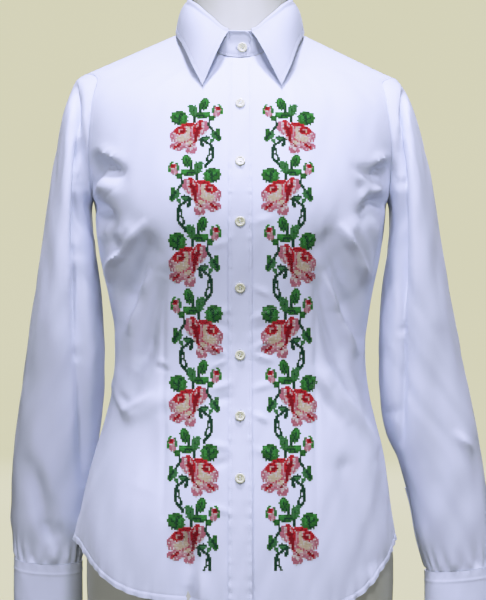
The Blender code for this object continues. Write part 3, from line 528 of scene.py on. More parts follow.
# The motif, in stitches from its outer top corner. What comes later lies over what comes before.
Patch = namedtuple("Patch", "floss x y half_width half_height tilt")
Stem = namedtuple("Stem", "floss thickness points")
MOTIF = [
    # petals
    Patch("mauve", 7.6, 37.4, 5.3, 3.4, 0),
    Patch("mauve", 6.2, 29.8, 4.2, 5.2, 0),
    Patch("mauve", 16.8, 39.2, 4.1, 4.4, 0),
    Patch("mauve", 25.1, 23.6, 3.6, 5.8, 12),
    Patch("blush", 24.4, 23.2, 1.6, 4.2, 12),
    Patch("blush", 14.2, 28.4, 9.2, 8.6, 0),
    Patch("mauve", 18.6, 29.0, 1.1, 6.5, 4),
    Patch("blush", 16.5, 38.0, 2.2, 2.6, 0),
    Patch("blush", 9.0, 36.4, 3.0, 1.4, 0),
    Patch("cream", 11.8, 31.3, 5.4, 3.2, -8),
    Patch("cream", 14.6, 25.8, 1.2, 4.0, 0),
    Patch("cream", 15.2, 34.4, 2.8, 1.6, -18),
    Patch("rose", 16.6, 26.0, 0.7, 4.4, 0),
    # the red heart and its turned petals
    Patch("red", 14.4, 20.6, 5.0, 1.6, -8),
    Patch("red", 23.0, 18.6, 2.5, 1.4, -16),
    Patch("red", 21.2, 24.6, 3.2, 5.6, 6),
    Patch("deep_red", 20.6, 27.4, 1.3, 5.0, 4),
    Patch("deep_red", 22.9, 22.6, 0.9, 2.0, 8),
    Stem("deep_red", 1.5, [(20.2, 30.0), (19.8, 33.6)]),
    Stem("blush", 1.1, [(21.2, 19.4), (20.9, 22.4)]),
    Stem("blush", 1.0, [(23.6, 25.6), (22.8, 28.4)]),
    Patch("red", 9.4, 25.2, 4.2, 3.3, -10),
    Patch("deep_red", 10.4, 25.7, 1.7, 1.5, 0),
    Stem("blush", 1.1, [(8.2, 26.6), (8.3, 25.0), (9.6, 24.2), (10.9, 24.2)]),
    Patch("cream", 8.4, 25.8, 0.8, 0.8, 0),
    Stem("rose", 1.2, [(8.8, 34.6), (12.6, 34.0), (16.8, 31.9)]),
    Stem("red", 2.0, [(5.6, 38.6), (9.4, 35.6)]),
    Stem("deep_red", 1.2, [(6.4, 38.6), (7.6, 37.6)]),
    Patch("deep_red", 16.1, 37.1, 0.8, 0.8, 0),
    Patch("deep_red", 17.5, 35.7, 0.8, 0.8, 0),
    Patch("red", 19.0, 34.3, 0.8, 0.8, 0),
    # the big leaf beside the rose
    Patch("green", 8.4, 15.4, 6.1, 5.6, 0),
    Patch("light_green", 5.6, 13.2, 2.3, 2.4, 0),
    Patch("light_green", 11.8, 15.2, 1.9, 2.6, 20),
    Patch("sage", 13.0, 17.0, 1.2, 1.8, 0),
    Stem("dark_green", 1.2, [(8.2, 13.6), (8.6, 19.6)]),
    Stem("dark_green", 1.0, [(8.4, 16.6), (5.4, 14.9)]),
    Stem("dark_green", 1.0, [(8.4, 15.6), (10.8, 13.4)]),
    # the three leaves above it, on their stem
    Stem("dark_green", 1.5, [(18.9, 13.4), (18.9, 18.6)]),
    Stem("dark_green", 1.3, [(22.6, 8.6), (23.0, 11.2)]),
    Patch("sage", 18.0, 9.6, 3.1, 4.3, 0),
    Patch("sage", 15.8, 6.4, 1.3, 1.2, 0),
    Stem("green", 1.0, [(18.2, 8.0), (18.8, 13.0)]),
    Patch("green", 25.8, 4.8, 3.4, 4.9, 24),
    Patch("light_green", 27.4, 2.6, 1.9, 2.2, 30),
    Stem("dark_green", 1.0, [(24.4, 8.6), (26.6, 3.6)]),
    Patch("green", 24.8, 13.4, 5.6, 2.7, -5),
    Patch("light_green", 27.6, 12.5, 2.6, 1.4, -5),
    Stem("dark_green", 1.0, [(20.0, 13.2), (25.6, 13.6)]),
    # the bud
    Patch("mauve", 34.8, 10.8, 3.0, 4.2, 10),
    Patch("blush", 34.2, 11.6, 1.4, 2.6, 10),
    Patch("red", 35.6, 8.4, 1.9, 1.5, 15),
    Patch("deep_red", 36.2, 8.2, 0.8, 0.8, 0),
    Stem("sage", 1.2, [(32.0, 11.4), (32.0, 8.0), (33.2, 6.4)]),
    Stem("light_green", 1.4, [(38.0, 12.6), (38.3, 9.0), (37.4, 6.6), (36.0, 5.2)]),
    Patch("green", 31.4, 15.8, 2.2, 2.2, 0),
    Stem("dark_green", 1.9, [(29.6, 17.8), (29.2, 21.2), (31.2, 24.8), (33.6, 27.4)]),
    # the small leaves beside it
    Patch("sage", 33.4, 29.0, 3.0, 3.0, 0),
    Patch("green", 35.4, 26.6, 1.6, 2.8, 0),
    Patch("green", 36.0, 31.4, 1.9, 2.4, -24),
    Stem("dark_green", 1.0, [(33.4, 27.6), (36.6, 32.4)]),
    Patch("dark_green", 26.0, 31.6, 4.2, 1.9, -12),
    Patch("sage", 27.8, 31.6, 2.6, 1.0, -8),
    Patch("sage", 31.4, 33.2, 1.8, 1.7, 30),
    Stem("dark_green", 2.3, [(23.6, 32.6), (24.8, 37.0)]),
    # the stems that run down to the next rose
    Stem(
        "dark_green",
        2.0,
        [
            (27.4, 34.2), (30.8, 36.8), (32.4, 41.0), (32.4, 45.6), (30.6, 48.4),
            (27.8, 50.6), (26.6, 53.4),
        ],
    ),
    Stem("dark_green", 1.6, [(30.2, 39.2), (29.4, 42.0), (29.8, 44.0)]),
    Stem("dark_green", 1.6, [(28.4, 44.6), (28.2, 48.4)]),
]

# Studio
FLOOR_RADIUS = 4.5
SWEEP_RADIUS = 1.5
WALL_HEIGHT = 6.0
Light = namedtuple("Light", "name place aim_height size power color")
LIGHTS = table(Light, [
    ("overhead", (0, -0.7, 3.3), 0.45, 0.5, 88, (0.955, 0.975, 1.0)),
    ("key", (0.1, -1.2, 1.5), 0.64, 0.30, 11, (0.955, 0.975, 1.0)),
    ("left", (-1.7, -2.5, 1.0), 0.45, 0.8, 29, (0.97, 0.98, 1.0)),
    ("right", (1.9, -2.1, 1.0), 0.45, 0.8, 20, (0.97, 0.98, 1.0)),
    ("back", (0, 3.2, 1.3), 0.45, 1.0, 40, (0.97, 0.98, 1.0)),
])
WORLD_COLOR = (0.90, 0.93, 1.0, 1.0)
WORLD_STRENGTH = 0.055
CAMERA_PLACE = (0.0035, -2.3, 0.465)
CAMERA_LENS = 117.95
SENSOR = 36.0
TONE_WHITE = 4.0
COTTON_TONES = [(0.685, 0.725, 0.870), (0.725, 0.765, 0.905)]
# How much darker the collar's cloth colour is painted: painted shade for the shade the collar lies
# in.
COLLAR_PAINTED_SHADE = 0.80
TONES = [(0.225, 0.225), (0.45, 0.45), (0.8, 0.68), (1.2, 0.82), (1.8, 0.91), (3.0, 0.97)]
# White cloth turns a little blue in its lights, as it does in the photo.
BLUE_TONES = [
    (0.30, 0.30), (0.41, 0.44), (0.56, 0.66), (0.77, 1.03), (1.04, 1.76), (1.20, 2.60),
    (1.33, 3.12), (2.0, 3.7),
]


def flat_tangents(steps, slopes):
    """Tangents of a curve through points that never overshoots them."""
    tangents = np.concatenate([slopes[:1], np.zeros(len(slopes) - 1), slopes[-1:]])
    for i in range(1, len(slopes)):
        if slopes[i - 1] * slopes[i] > 0:
            tangents[i] = 2 * slopes[i - 1] * slopes[i] / (slopes[i - 1] + slopes[i])
    return tangents


def spline_tangents(steps, slopes):
    """Tangents of the curve through points whose curvature has no jumps."""
    count = len(slopes) + 1
    pulls, sums = np.zeros((count, count)), np.zeros(count)
    pulls[0, :2], sums[0] = (2, 1), 3 * slopes[0]
    pulls[-1, -2:], sums[-1] = (1, 2), 3 * slopes[-1]
    for i in range(1, count - 1):
        before, after = 1 / steps[i - 1], 1 / steps[i]
        pulls[i, i - 1 : i + 2] = before, 2 * (before + after), after
        sums[i] = 3 * (slopes[i - 1] * before + slopes[i] * after)
    return np.linalg.solve(pulls, sums)


def smooth_curve(xs, ys, find_tangents=flat_tangents):
    """A cubic through the points, as a function."""
    xs, ys = np.array(xs, float), np.array(ys, float)
    steps = np.diff(xs)
    tangents = find_tangents(steps, np.diff(ys) / steps)

    def value(x):
        x = np.clip(x, xs[0], xs[-1])
        i = np.clip(np.searchsorted(xs, x) - 1, 0, len(steps) - 1)
        u = (x - xs[i]) / steps[i]
        return (
            (2 * u**3 - 3 * u**2 + 1) * ys[i]
            + (u**3 - 2 * u**2 + u) * steps[i] * tangents[i]
            + (3 * u**2 - 2 * u**3) * ys[i + 1]
            + (u**3 - u**2) * steps[i] * tangents[i + 1]
        )

    return value


def columns_of(rows, key, find_tangents=flat_tangents):
    """Each column of a table as a smooth function of its key column, or of the row number."""
    keys = range(len(rows)) if key is None else [getattr(row, key) for row in rows]
    curves = {}
    for name in rows[0]._fields:
        if name != key:
            curves[name] = smooth_curve(keys, [getattr(r, name) for r in rows], find_tangents)
    return curves


body = columns_of(BODY_SECTIONS, "height", spline_tangents)
plain_hem_height = columns_of(HEM, "angle")["height"]
neckline_height = columns_of(NECKLINE, "angle")["height"]
fold_height = columns_of(COLLAR_FOLD, "angle")["height"]
leaf_edge = columns_of(LEAF_EDGE, "angle")
form_inset = columns_of(FORM_INSETS, "height")["inset"]


def smooth_step(x, low, high):
    """0 below low, 1 above high, and smooth between."""
    u = np.clip((x - low) / (high - low), 0, 1)
    return u * u * (3 - 2 * u)


def bell(x, width, middle=0.0):
    """1 at the middle, and next to nothing from two widths away."""
    return np.exp(-(((x - middle) / width) ** 2))


def from_front(angle):
    """The angle in degrees from the front, 0 to 180, on whichever side it is."""
    return np.abs((np.degrees(angle) + 180) % 360 - 180)


def hem_height(angle):
    """The hem's height. Its front curve rises higher towards the wearer's right side."""
    skew = HEM_SKEW * np.sin(2 * angle) * (np.cos(angle) > 0)
    return plain_hem_height(from_front(angle)) - skew


def unit(vectors):
    return vectors / np.linalg.norm(vectors, axis=-1, keepdims=True)


def level_unit(vectors):
    """Unit vectors that point the same way on the ground and have no height."""
    return unit(vectors * np.array([1, 1, 0]))


def ring_point(angle, half_width, front, back, square, height):
    """A point of a horizontal section with rounded corners."""
    across = np.abs(np.sin(angle)) / half_width
    along = np.abs(np.cos(angle)) / np.where(np.cos(angle) > 0, front, back)
    radius = (across**square + along**square) ** (-1 / square)
    height = np.broadcast_to(height, np.shape(radius))
    return np.stack([radius * np.sin(angle), -radius * np.cos(angle), height], -1)


def section_point(angle, height, shift=1.0):
    """The shirt's plain section. Its skirt hangs a little to one side, by the shift given."""
    sizes = [body[name](height) for name in ("half_width", "front", "back", "square")]
    point = ring_point(angle, *sizes, height)
    point[..., 0] += shift * body["middle"](height)
    return settled(point)


def settled(point):
    """The wearer's left shoulder hangs a little lower than the right one."""
    outwards = np.clip((point[..., 0] - DROP_START_X) / DROP_SPAN_X, 0, 1)
    upwards = smooth_step(point[..., 2], DROP_START_HEIGHT, DROP_FULL_HEIGHT)
    drop = LEFT_SHOULDER_DROP * outwards * upwards
    return point - np.stack([0 * drop, 0 * drop, drop], -1)


def neckline_point(angle):
    height = neckline_height(from_front(angle))
    return ring_point(angle, NECK_HALF_WIDTH, NECK_FRONT, NECK_BACK, 2.0, height)


def fold_point(angle):
    """The ridge where the collar turns over."""
    height = fold_height(from_front(angle))
    return ring_point(angle, FOLD_HALF_WIDTH, FOLD_FRONT, FOLD_BACK, 2.0, height)


def body_point(angle, level):
    """The shirt's body without folds: level 0 is its hem, 1 its shoulder tips, 2 its neckline."""
    low = hem_height(angle)
    height = low + (SHOULDER_TIP_HEIGHT - low) * np.minimum(level, 1)
    rise = np.clip(level - 1, 0, 1)[..., None]
    return section_point(angle, height) * (1 - rise) + neckline_point(angle) * rise


def body_normal(angle, level):
    """The plain body's normal, evened out over the little that each step spans."""
    around = body_point(angle + 0.03, level) - body_point(angle - 0.03, level)
    upwards = body_point(angle, level + 0.004) - body_point(angle, level - 0.004)
    return unit(np.cross(around, upwards))


def line_lift(lines, across, height, scale=1.0, tapered=False):
    """How far ridges and troughs between pairs of places lift the cloth."""
    place = np.stack([across, height], -1)
    lift = np.zeros(np.shape(height))
    for line in lines:
        start = np.array([line[0] * scale, line[1]])
        run = np.array([line[2] * scale, line[3]]) - start
        along = np.clip((place - start) @ run / (run @ run), 0, 1)
        distance = np.linalg.norm(place - start - along[..., None] * run, axis=-1)
        depth = line.depth * (0.35 + 0.65 * np.sin(math.pi * along)) if tapered else line.depth
        lift = lift + depth * bell(distance, line.width)
    return lift


def make_waves(count, shortest, longest, height, seed):
    """Random gentle, mostly upright waves: each one's two wave numbers, phase and height."""
    draw = np.random.default_rng(seed)
    lengths = np.geomspace(shortest, longest, count)
    turns = draw.uniform(-0.6, 0.6, count)
    phases = draw.uniform(0, 2 * math.pi, count)
    numbers = 2 * math.pi / lengths
    heights = height * lengths / longest
    return list(zip(numbers * np.cos(turns), numbers * np.sin(turns), phases, heights))


SOFT_WAVES = make_waves(12, 0.018, 0.090, 0.00034, 11)
PUCKER_WAVES = make_waves(7, 0.006, 0.016, 0.00022, 5)


def wave_lift(waves, across, upwards):
    lift = np.zeros(np.shape(upwards))
    for wave_x, wave_z, phase, height in waves:
        lift = lift + height * np.sin(wave_x * across + wave_z * upwards + phase)
    return lift


def pucker(across, upwards, near, reach, strength):
    """Small waves beside a line of stitches, which die out over their reach."""
    return strength * wave_lift(PUCKER_WAVES, across, upwards) * np.exp(-near / reach)


def hem_lift(above, across):
    """The turned hem: a raised band that ends at a stitched groove, a little puckered."""
    band = HEM_RISE * (1 - smooth_step(above, HEM_DEPTH - 0.0004, HEM_DEPTH + 0.0008))
    groove = GROOVE_DEPTH * bell(above, 0.0011, HEM_DEPTH)
    return band - groove + pucker(across, 0 * above, above, 0.010, 2.2)


def shirt_point(angle, level, out=0.0):
    """The cloth's outer surface with its folds and creases, moved out by a distance."""
    point = body_point(angle, level)
    degrees = (np.degrees(angle) + 180) % 360 - 180
    across = degrees * METRES_PER_DEGREE
    height = point[..., 2]
    front = smooth_step(np.cos(angle), -0.10, 0.15)
    lift = line_lift(BODY_FOLDS, across, height, METRES_PER_DEGREE) + out
    lift = lift + front * line_lift(FRONT_CREASES, point[..., 0], height, tapered=True)
    lift = lift + (1 - front) * line_lift(BACK_CREASES, point[..., 0], height, tapered=True)
    calm = 1 - 0.8 * smooth_step(level, 0.9, 1.2)
    lift = lift + calm * wave_lift(SOFT_WAVES, across, height)
    lift = lift + hem_lift(height - hem_height(angle), across)
    return point + body_normal(angle, level) * lift[..., None]


def armhole_height(turn):
    """Height on the armhole's edge, from its top at turn 0 to its bottom at turn pi."""
    middle = (ARMPIT_HEIGHT + SHOULDER_TIP_HEIGHT) / 2
    return middle + (SHOULDER_TIP_HEIGHT - ARMPIT_HEIGHT) / 2 * np.cos(turn)


def level_at(station, angle):
    """Stations 0 to 1 climb from hem to armpit, 1 to 2 past the armhole, 2 to 3 to the neckline."""
    if station > 2:
        return np.full(np.shape(angle), station - 1)
    low = hem_height(angle)
    if station <= 1:
        height = low + (ARMPIT_HEIGHT - low) * station
    else:
        height = armhole_height(math.pi * (2 - station))
    return (height - low) / (SHOULDER_TIP_HEIGHT - low)


def stations():
    """A row of cloth at each, closer together by the hem."""
    hem = np.arange(0, HEM_ROWS_END, HEM_ROW_STEP)
    skirt = np.linspace(0, 1, SKIRT_ROWS + 1)
    armhole = np.linspace(1, 2, ARMHOLE_ROWS + 1)[1:]
    shoulder = np.linspace(2, 3, SHOULDER_ROWS + 1)[1:]
    return np.concatenate([hem, skirt[skirt > HEM_ROWS_END], armhole, shoulder])


def angle_at_x(station, x):
    """The angle near the front where the cloth passes x."""
    angles = np.radians(np.linspace(-30, 30, 241))
    return np.interp(x, body_point(angles, level_at(station, angles))[:, 0], angles)


def side_angle(station, gap):
    """The angle of a panel's side edge: the side seam, the armhole and then the shoulder seam.
    A gap below zero is on the front's side of the seam, and one above it on the back's."""
    reach = 0.0
    if 1 < station < 2:
        reach = ARMHOLE_HALF_DEPTH * math.sin(math.pi * (station - 1))
    depths = body_point(SIDE_ANGLES, level_at(station, SIDE_ANGLES))[:, 1]
    return np.interp(math.copysign(reach, gap) + gap, depths, SIDE_ANGLES)


def even_angles(station, start, end, columns):
    """Angles that part a row of the body into equal lengths."""
    angles = np.linspace(start, end, 121)
    points = body_point(angles, level_at(station, angles))
    lengths = np.linalg.norm(np.diff(points, axis=0), axis=1)
    run = np.concatenate([[0], np.cumsum(lengths)])
    return np.interp(np.linspace(0, run[-1], columns + 1), run, angles)


def grid_normals(grid, tube=False):
    """Normals of a grid of points, outwards where its columns run counter-clockwise from above."""
    if tube:
        around = np.roll(grid, -1, axis=1) - np.roll(grid, 1, axis=1)
    else:
        around = np.gradient(grid, axis=1)
    return unit(np.cross(np.gradient(grid, axis=0), around))


def quads(grid):
    """The corners of each cell of a grid of numbers."""
    corners = [grid[:-1, :-1], grid[:-1, 1:], grid[1:, 1:], grid[1:, :-1]]
    return np.stack(corners, -1).reshape(-1, 4)


def run_lengths(grid, axis):
    """The length from a grid's first line to each point of it, along an axis."""
    steps = np.linalg.norm(np.diff(grid, axis=axis), axis=-1)
    zero = np.zeros_like(np.take(steps, [0], axis=axis))
    return np.concatenate([zero, np.cumsum(steps, axis=axis)], axis=axis)


def closed_round(grid):
    """A tube's grid with its first column again at its end."""
    return np.concatenate([grid, grid[:, :1]], axis=1)


def wall_mesh(name, outer, inner, tube=False):
    """A closed wall of cloth between two grids of points, with its flat lengths as its UV map.
    A tube's columns go all the way round."""
    rows, columns = outer.shape[:2]
    half = rows * columns
    index = np.arange(half).reshape(rows, columns)
    spread = outer
    if tube:
        index, spread = closed_round(index), closed_round(outer)
    flat = np.stack([run_lengths(spread, 1), run_lengths(spread, 0)], -1).reshape(-1, 2)
    flat_index = np.arange(len(flat)).reshape(spread.shape[:2])
    skin, flat_skin = quads(index), quads(flat_index)
    faces, flats = [skin, skin + half], [flat_skin, flat_skin]
    edges = [(index[0], flat_index[0]), (index[-1], flat_index[-1])]
    if not tube:
        edges += [(index[:, 0], flat_index[:, 0]), (index[:, -1], flat_index[:, -1])]
    for edge, flat_edge in edges:
        faces.append(quads(np.stack([edge, edge + half])))
        flats.append(quads(np.stack([flat_edge, flat_edge])))
    data = bpy.data.meshes.new(name)
    points = np.concatenate([outer.reshape(-1, 3), inner.reshape(-1, 3)])
    data.from_pydata(points.tolist(), [], np.concatenate(faces).tolist())
    layer = data.uv_layers.new(name="cloth")
    layer.data.foreach_set("uv", flat[np.concatenate(flats).ravel()].astype(np.float32).ravel())
    mesh = bmesh.new()
    mesh.from_mesh(data)
    return finished_mesh(mesh, data, CLOTH_SHARP_ANGLE)


def finished_mesh(mesh, data, sharp_angle):
    """Mesh data from a bmesh, facing outwards and smooth but for its sharp edges."""
    bmesh.ops.recalc_face_normals(mesh, faces=mesh.faces)
    mesh.to_mesh(data)
    mesh.free()
    data.shade_smooth()
    data.set_sharp_from_angle(angle=math.radians(sharp_angle))
    return data


def link(name, data, *materials):
    for material in materials:
        data.materials.append(material)
    obj = bpy.data.objects.new(name, data)
    bpy.context.scene.collection.objects.link(obj)
    return obj


# Materials


class Look:
    """A material whose textures lie over the surface by its UV map or the object's own space."""

    def __init__(self, name, color, roughness, place="Object", **values):
        self.material = bpy.data.materials.new(name)
        self.material.use_nodes = True
        self.tree = self.material.node_tree
        self.shader = self.tree.nodes["Principled BSDF"]
        self.fill(self.shader, Base_Color=(*color, 1.0), Roughness=roughness, **values)
        self.place = self.add("TexCoord").outputs[place]

    def fill(self, node, **values):
        """Sets a node's settings, or its inputs by their names."""
        for key, value in values.items():
            if hasattr(node, key):
                setattr(node, key, value)
            else:
                node.inputs[key.replace("_", " ")].default_value = value

    def add(self, kind, links=None, **values):
        node = self.tree.nodes.new(f"ShaderNode{kind}")
        self.fill(node, **values)
        for key, socket in (links or {}).items():
            self.tree.links.new(socket, node.inputs[key])
        return node

    def connect(self, socket, name):
        self.tree.links.new(socket, self.shader.inputs[name])

    def texture(self, kind, **values):
        """A texture's value over the surface."""
        return self.add(f"Tex{kind}", {"Vector": self.place}, **values).outputs["Fac"]

    def two_tones(self, factor, low, high, name="Base Color"):
        ramp = self.add("ValToRGB", {"Fac": factor})
        for element, color in zip(ramp.color_ramp.elements, (low, high)):
            element.color = (*color, 1.0)
        self.connect(ramp.outputs["Color"], name)

    def wear(self, factor, low, high):
        """Roughness that varies between two values."""
        rough = self.add("MapRange", {"Value": factor}, To_Min=low, To_Max=high)
        self.connect(rough.outputs["Result"], "Roughness")

    def bump(self, height, strength, distance, under=None):
        """A bump, over the one under it if there is one."""
        links = {"Height": height}
        if under:
            links["Normal"] = under
        bump = self.add("Bump", links, Strength=strength, Distance=distance)
        self.connect(bump.outputs["Normal"], "Normal")
        return bump.outputs["Normal"]


def cotton_material(name, depth):
    """Fine plain-weave cotton: threads about 0.4 mm apart, with slubs and a slight sheen.

    A depth below one darkens the cloth's colour for the collar: painted shade, standing in for the
    shade that the collar lies in.
    """
    plain, pale = [tuple(depth * part for part in tone) for tone in COTTON_TONES]
    sheen = {"Sheen_Weight": 0.18, "Sheen_Roughness": 0.45}
    look = Look(name, plain, 0.52, "UV", Specular_IOR_Level=0.35, **sheen)
    threads = [
        look.texture("Wave", bands_direction=way, Scale=785.0, Distortion=0.6) for way in "XY"
    ]
    weave = look.add("Math", dict(enumerate(threads)), operation="MAXIMUM").outputs["Value"]
    slub = look.texture("Noise", Scale=160.0, Detail=3.0)
    look.two_tones(look.texture("Noise", Scale=14.0, Detail=4.0), plain, pale)
    look.wear(slub, 0.44, 0.60)
    look.bump(slub, 0.18, 0.0004, look.bump(weave, 0.25, 0.0001))
    return look.material


def floss_material(name, color):
    """Twisted cotton floss with a soft gloss and a slightly uneven dye."""
    look = Look(f"floss_{name}", color, 0.62, Specular_IOR_Level=0.22)
    low = tuple(0.80 * part for part in color)
    high = tuple(min(1.0, 1.16 * part) for part in color)
    look.two_tones(look.texture("Noise", Scale=420.0, Detail=2.0), low, high)
    look.bump(look.texture("Wave", bands_direction="DIAGONAL", Scale=900.0), 0.3, 0.0001)
    return look.material


def pearl_material():
    """Pearly buttons: cloudy layers under a polish."""
    color = (0.78, 0.77, 0.58)
    look = Look("pearl_button", color, 0.2, Coat_Weight=0.5, Coat_Roughness=0.08)
    swirl = {"bands_direction": "Y", "Distortion": 7.0, "Detail_Scale": 3.0}
    layers = look.texture("Wave", Scale=60.0, **swirl)
    look.two_tones(layers, (0.68, 0.68, 0.50), (0.84, 0.83, 0.63))
    look.bump(look.texture("Noise", Scale=900.0), 0.06, 0.0001)
    return look.material


def thread_material():
    """White sewing thread."""
    look = Look("white_thread", (0.80, 0.82, 0.90), 0.55, Sheen_Weight=0.2)
    look.two_tones(look.texture("Noise", Scale=1500.0), (0.66, 0.70, 0.86), (0.78, 0.82, 0.97))
    return look.material


def form_material():
    """The form's smooth satin shell, faintly mottled."""
    look = Look("form_shell", (0.66, 0.66, 0.66), 0.42)
    mottle = look.texture("Noise", Scale=9.0, Detail=5.0)
    look.two_tones(mottle, (0.56, 0.560, 0.505), (0.66, 0.66, 0.595))
    look.wear(mottle, 0.36, 0.50)
    look.bump(look.texture("Noise", Scale=700.0), 0.08, 0.0003)
    return look.material


def stage_material():
    """Plain pale paint that glows evenly: the lights are set for the part alone."""
    glow = {"Specular_IOR_Level": 0.0, "Emission_Strength": 1.0}
    look = Look("pale_studio", (0.10, 0.096, 0.07), 1.0, **glow)
    mottle = look.texture("Noise", Scale=1.2)
    look.two_tones(mottle, (0.72, 0.695, 0.425), (0.755, 0.725, 0.450), "Emission Color")
    return look.material


# Threads


def strand_mesh(name, starts, ends, normals, width, rise, slots=None):
    """Short closed strands of thread between pairs of points on the cloth, each humped up a little.
    width and rise are one number, or one for each strand."""
    count = len(starts)
    width = np.broadcast_to(width, (count,))[:, None]
    rise = np.broadcast_to(rise, (count,))[:, None]
    run = ends - starts
    sides = unit(np.cross(normals, run)) * width / 2
    rings = []
    for share in (0.22, 0.78):
        middle = starts + run * share
        rings += [middle - sides, middle + normals * rise, middle + sides]
    points = np.stack([starts, *rings, ends], axis=1)
    first = [(0, 1, 2), (0, 2, 3), (0, 3, 1)]
    last = [(7, 5, 4), (7, 6, 5), (7, 4, 6)]
    between = [(1, 4, 5), (1, 5, 2), (2, 5, 6), (2, 6, 3), (3, 6, 4), (3, 4, 1)]
    one = np.array(first + between + last)
    faces = (one[None] + 8 * np.arange(count)[:, None, None]).reshape(-1, 3)
    data = bpy.data.meshes.new(name)
    data.from_pydata(points.reshape(-1, 3).tolist(), [], faces.tolist())
    if slots is not None:
        data.polygons.foreach_set("material_index", np.repeat(slots, len(one)).astype(np.int32))
    data.shade_smooth()
    return data


def inset_line(grid, normals, edge, distance):
    """Points and normals along a grid's edge, at a distance inside it."""
    both = np.concatenate([grid, normals], axis=-1)
    if edge in ("start", "end"):
        both = both.transpose(1, 0, 2)
    if edge in ("head", "end"):
        both = both[::-1]
    lengths = run_lengths(both[..., :3], 0)
    line = []
    for column in range(both.shape[1]):
        at = np.interp(distance, lengths[:, column], np.arange(len(both)))
        low = min(int(at), len(both) - 2)
        line.append(both[low, column] * (low + 1 - at) + both[low + 1, column] * (at - low))
    return np.array(line)


def stitch_row(line, trim=0.0):
    """Starts, ends and normals of running stitches along a line of points and normals."""
    run = run_lengths(line[:, :3], 0)
    count = int((run[-1] - 2 * trim) / TOPSTITCH_PITCH)
    begin = trim + np.arange(count) * TOPSTITCH_PITCH

    def at(lengths):
        return np.stack([np.interp(lengths, run, line[:, i]) for i in range(6)], -1)

    first, last = at(begin), at(begin + TOPSTITCH_LENGTH)
    lift = STITCH_LIFT * first[:, 3:]
    return first[:, :3] + lift, last[:, :3] + lift, unit(first[:, 3:])


def edge_rows(grid, normals, *edges, trim=0.0):
    """A row of stitches along each edge of a panel, given with its distance inside the edge."""
    return [stitch_row(inset_line(grid, normals, edge, inset), trim) for edge, inset in edges]


def add_stitches(name, rows, looks):
    starts, ends, normals = (np.concatenate(parts) for parts in zip(*rows))
    data = strand_mesh(name, starts, ends, normals, TOPSTITCH_WIDTH, TOPSTITCH_RISE)
    obj = link(name, data, looks["thread"])
    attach(obj, BODY)
    return obj


# Cloth pieces


def add_cloth(node, outer, inner, look, tube=False):
    """A piece of cloth that stands for a node, whose solid it hides."""
    name = f"cloth_{node}"
    obj = link(name, wall_mesh(name, outer, inner, tube), look)
    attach(obj, BODY)
    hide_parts(node)


def panel_grid(start_angle, end_angle, columns, out, last=3.0):
    """Points of the body between two edges, each given as a function of the station."""
    rows = []
    for station in np.minimum(stations(), last):
        angles = even_angles(station, start_angle(station), end_angle(station), columns)
        rows.append(shirt_point(angles, level_at(station, angles), out))
    return np.array(rows)


def body_panel(node, edges, columns, seams, looks):
    """A front or the back. Its two edges are functions of the station."""
    outer = panel_grid(*edges, columns, 0.0)
    inner = panel_grid(*edges, columns, -FINE_CLOTH)
    stitched = [("foot", HEM_DEPTH)] + [(seam, SEAM_STITCH_INSET) for seam in seams]
    rows = edge_rows(outer, -grid_normals(outer), *stitched)
    stitches = add_stitches(f"stitching_{node}", rows, looks)
    add_cloth(node, outer, inner, looks["cotton"])


def front_and_back(looks):
    half_gap = SEAM_GAP / 2
    left = (lambda s: angle_at_x(s, FRONT_JOIN + half_gap), lambda s: side_angle(s, -half_gap))
    right = (lambda s: -side_angle(s, -half_gap), lambda s: angle_at_x(s, FRONT_JOIN - half_gap))
    back = (lambda s: side_angle(s, half_gap), lambda s: 2 * math.pi - side_angle(s, half_gap))
    body_panel("front_left", left, FRONT_LEFT_COLUMNS, ["end"], looks)
    body_panel("front_right", right, FRONT_RIGHT_COLUMNS, ["start"], looks)
    body_panel("back", back, BACK_COLUMNS, ["start", "end"], looks)


def placket_grid(out):
    """The button placket, on top of both fronts. Its middle column is where the buttons go."""
    edges = [lambda s, x=x: angle_at_x(s, x) for x in (PLACKET_INNER_EDGE, PLACKET_OUTER_EDGE)]
    grid = panel_grid(*edges, PLACKET_COLUMNS, out, PLACKET_END)
    return grid[: int(np.searchsorted(stations(), PLACKET_END)) + 1]


def button_placket(looks):
    """The placket with its stitched grooves. Its outer edge stands off the cloth lower down."""
    outer, inner = placket_grid(SEAM_GAP + CLOTH), placket_grid(SEAM_GAP)
    normals = -grid_normals(outer)
    from_start = run_lengths(outer, 1)
    from_end = from_start[:, -1:] - from_start
    near = np.minimum(from_start, from_end)
    lift = PLACKET_LOOSE * smooth_step(-outer[..., 2], -0.46, -0.20)
    lift = lift * smooth_step(-from_end, -0.012, 0)
    ripple = pucker(outer[..., 2], 0 * near, near, 0.004, 1.2)
    ripple = ripple - GROOVE_DEPTH * bell(near, 0.0009, PLACKET_STITCH_INSET)
    outer = outer + normals * (lift + ripple)[..., None]
    inner = inner + normals * lift[..., None]
    stitched = [(edge, PLACKET_STITCH_INSET) for edge in ("start", "end")]
    rows = edge_rows(outer, normals, *stitched, ("foot", HEM_DEPTH))
    stitches = add_stitches("stitching_placket", rows, looks)
    add_cloth("button_placket", outer, inner, looks["cotton"])


def stand_point(angle, rise, out=0.0):
    """The collar stand's outer face. Its upper end laps over the lower one at the front."""
    foot = neckline_point(angle) + np.array([0, 0, 1.5 * SEAM_GAP])
    top = fold_point(angle) - np.array([0, 0, STAND_DROP])
    past_middle = np.maximum(-angle, angle - 2 * math.pi) * NECK_FRONT
    to_end = math.radians(STAND_LAP_ANGLE) * NECK_FRONT - past_middle
    corner = np.clip(1 - to_end / STAND_END_ROUND, 0, 1)
    top[..., 2] -= STAND_END_ROUND * (1 - np.sqrt(1 - corner**2))
    point = foot * (1 - rise) + top * rise
    lap = (STAND_CLOTH + SEAM_GAP) * smooth_step(np.degrees(angle), 326, 346)
    return point + level_unit(point) * (lap + out)[..., None]


